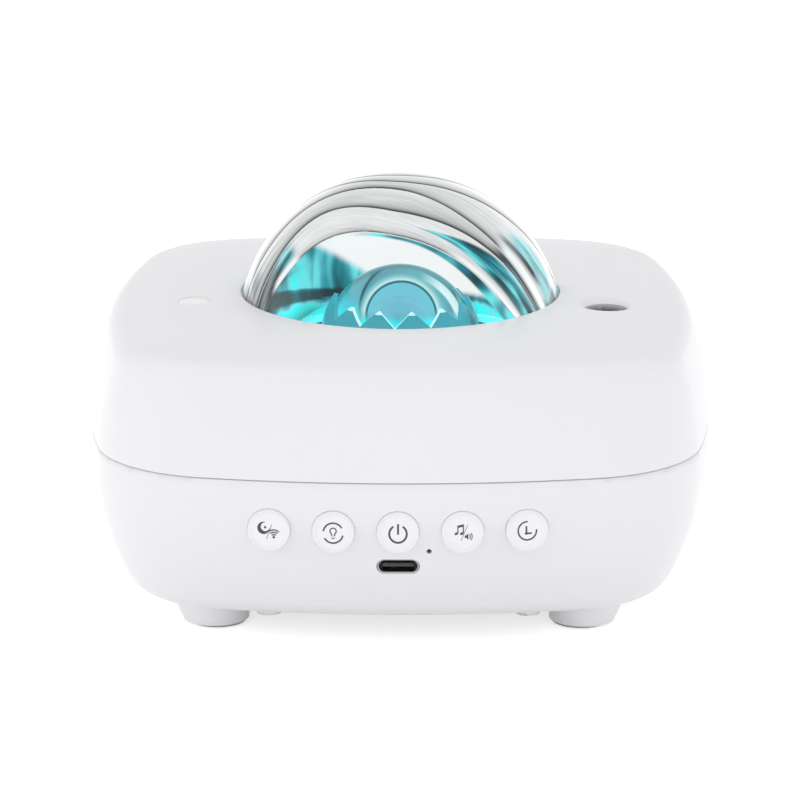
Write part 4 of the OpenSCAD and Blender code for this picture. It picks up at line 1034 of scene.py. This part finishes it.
nylon = finish("natural_nylon", (0.7, 0.69, 0.64), 0.5, 0.4 * mm, 0.02 * mm)
sawn_aluminium = finish(
    "extruded_aluminium", (0.62, 0.63, 0.65), 0.38, 0.12 * mm, 0.006 * mm, stretch=(0.05, 1, 1), Metallic=1
)
motor_can = finish(
    "drawn_steel_can", (0.56, 0.56, 0.55), 0.3, 0.2 * mm, 0.003 * mm, stretch=(1, 1, 0.1), Metallic=1
)
ground_steel = finish(
    "ground_steel", (0.5, 0.5, 0.51), 0.18, 0.08 * mm, 0.001 * mm, stretch=(1, 1, 0.2), Metallic=1
)
spring_steel = finish("spring_steel", (0.3, 0.3, 0.31), 0.35, 0.1 * mm, 0.002 * mm, Metallic=1)
dress(nylon, "chassis", "pinion", "grating_gear")
dress(sawn_aluminium, "heat_sink")
dress(motor_can, "motor")
dress(ground_steel, "motor_shaft", "rotor_axle")
dress(spring_steel, "axle_clip")


# Ring gear: moulded in natural nylon and pressed on to the ripple disc's rim, where the lamps' cyan
# light on it is painted into its colour and as a glow. Two small gears reach it, the motor's pinion and
# the star grating's.

nylon_painted_cyan_glow = finish(
    "nylon_painted_cyan_glow", (0.03, 0.22, 0.23), 0.5, 0.4 * mm, 0.02 * mm,
    Emission_Color=(0, 0.2, 0.22, 1), Emission_Strength=1,
)
dress(nylon_painted_cyan_glow, "ring_gear")


# Star lamp: a laser in a turned brass barrel, its lens, and the grating disc that spins in front of it and
# splits the beam into stars. They shine out through a dark, glossy window pressed into the lid.

turned_brass = finish(
    "turned_brass", (0.62, 0.42, 0.14), 0.25, 0.1 * mm, 0.003 * mm, stretch=(1, 0.06, 0.06), Metallic=1
)
star_lens = finish("star_lens", (0.12, 0.4, 0.36), 0.05, 1 * mm, 0.0005 * mm, Coat_Weight=1)
grating_film = finish(
    "grating_film", (0.09, 0.1, 0.13), 0.12, 0.05 * mm, 0.001 * mm, stretch=(1, 0.02, 1), Metallic=0.6
)
star_glass = finish("dark_window", (0.03, 0.035, 0.04), 0.05, 1 * mm, 0.0005 * mm)
dress(turned_brass, "laser_barrel")
dress(star_lens, "laser_lens")
dress(grating_film, "grating_disc")
dress(star_glass, "star_window")


# Moon lamp: a black holder with a film slide in it, printed with a grey moon on black, and a milky lens
# over that, which is pressed into the lid and throws the moon on to the wall.

moon_holder_black = finish("holder_black", (0.012, 0.012, 0.013), 0.5, 0.3 * mm, 0.015 * mm)
moon_glass = finish(
    "milky_lens", (0.86, 0.87, 0.88), 0.1, 1 * mm, 0.0005 * mm, colour_spread=0.02, Coat_Weight=1
)
moon_film = finish("moon_film", (0.35, 0.35, 0.34), 0.15, 0.05 * mm, 0.0005 * mm)
tree = moon_film.node_tree
slide_low, slide_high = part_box("moon_slide")
moon_r = (slide_high.x - slide_low.x) * 0.32
seas = noise_over(tree, *[times(tree, axis, 500) for axis in axes_of(tree, coordinates(tree))], 4)
moon_face = colour_ramp(
    tree, seas, [(0.35, (0.16, 0.16, 0.17)), (0.5, (0.5, 0.5, 0.48)), (0.7, (0.75, 0.74, 0.7))]
)
from_middle = distance(tree, coordinates(tree), (slide_low + slide_high) / 2)
off_moon = maths(tree, "GREATER_THAN", from_middle, moon_r)
film_colour = mix_colours(tree, off_moon, moon_face, (0.01, 0.01, 0.012))
tree.links.new(film_colour, tree.nodes["Principled BSDF"].inputs["Base Color"])
dress(moon_holder_black, "moon_holder")
dress(moon_film, "moon_slide")
dress(moon_glass, "moon_lens")


# Boards: glass-fibre laminate under green solder mask, with the copper tracks faintly lighter under it.
# They carry epoxy chips, capacitors in aluminium cans, a shielded radio module and the microphone.

board_green = finish("green_solder_mask", (0.02, 0.12, 0.055), 0.35, 0.5 * mm, 0.01 * mm)
tree = board_green.node_tree
tracks = tree.nodes.new("ShaderNodeTexBrick")
tracks.inputs["Scale"].default_value = 90
tracks.inputs["Mortar Size"].default_value = 0.12
tracks.inputs["Color1"].default_value = (0.016, 0.1, 0.045, 1)
tracks.inputs["Color2"].default_value = (0.02, 0.125, 0.055, 1)
tracks.inputs["Mortar"].default_value = (0.035, 0.2, 0.08, 1)
tree.links.new(coordinates(tree), tracks.inputs["Vector"])
tree.links.new(tracks.outputs["Color"], tree.nodes["Principled BSDF"].inputs["Base Color"])
chip_black = finish("chip_epoxy", (0.015, 0.015, 0.016), 0.55, 0.08 * mm, 0.004 * mm)
can_aluminium = finish(
    "capacitor_can", (0.68, 0.69, 0.7), 0.25, 0.3 * mm, 0.002 * mm, stretch=(1, 1, 0.1), Metallic=1
)
shield_tin = finish("tinned_shield", (0.66, 0.66, 0.64), 0.22, 0.4 * mm, 0.002 * mm, Metallic=1)
dress(board_green, "key_board", "main_board")
dress(chip_black, "chips")
dress(can_aluminium, "capacitors")
dress(shield_tin, "radio_module", "microphone")


# Speaker: a basket pressed from black-coated steel, a ring magnet of dark ferrite bonded to its back,
# and a cone of pressed paper. It is screwed down over the grille in the lower shell.

coated_steel = finish("coated_steel", (0.03, 0.03, 0.032), 0.4, 0.2 * mm, 0.006 * mm)
ferrite = finish("ferrite", (0.06, 0.06, 0.062), 0.6, 0.15 * mm, 0.015 * mm, colour_spread=0.2)
cone_paper = finish("pressed_paper", (0.035, 0.034, 0.034), 0.85, 0.25 * mm, 0.04 * mm, colour_spread=0.3)
dress(coated_steel, "speaker_frame")
dress(ferrite, "speaker_magnet")
dress(cone_paper, "speaker_cone")


# Screws: zinc-plated steel with plain round heads. Four long ones close the housing from below, and the
# short ones hold the boards, the dome's ring, the chassis, the motor and the speaker.

zinc_plate = finish(
    "zinc_plate", (0.56, 0.57, 0.6), 0.3, 0.2 * mm, 0.003 * mm, colour_spread=0.08, Metallic=1
)
dress(zinc_plate, "housing_screws", "board_screws", "inner_screws")
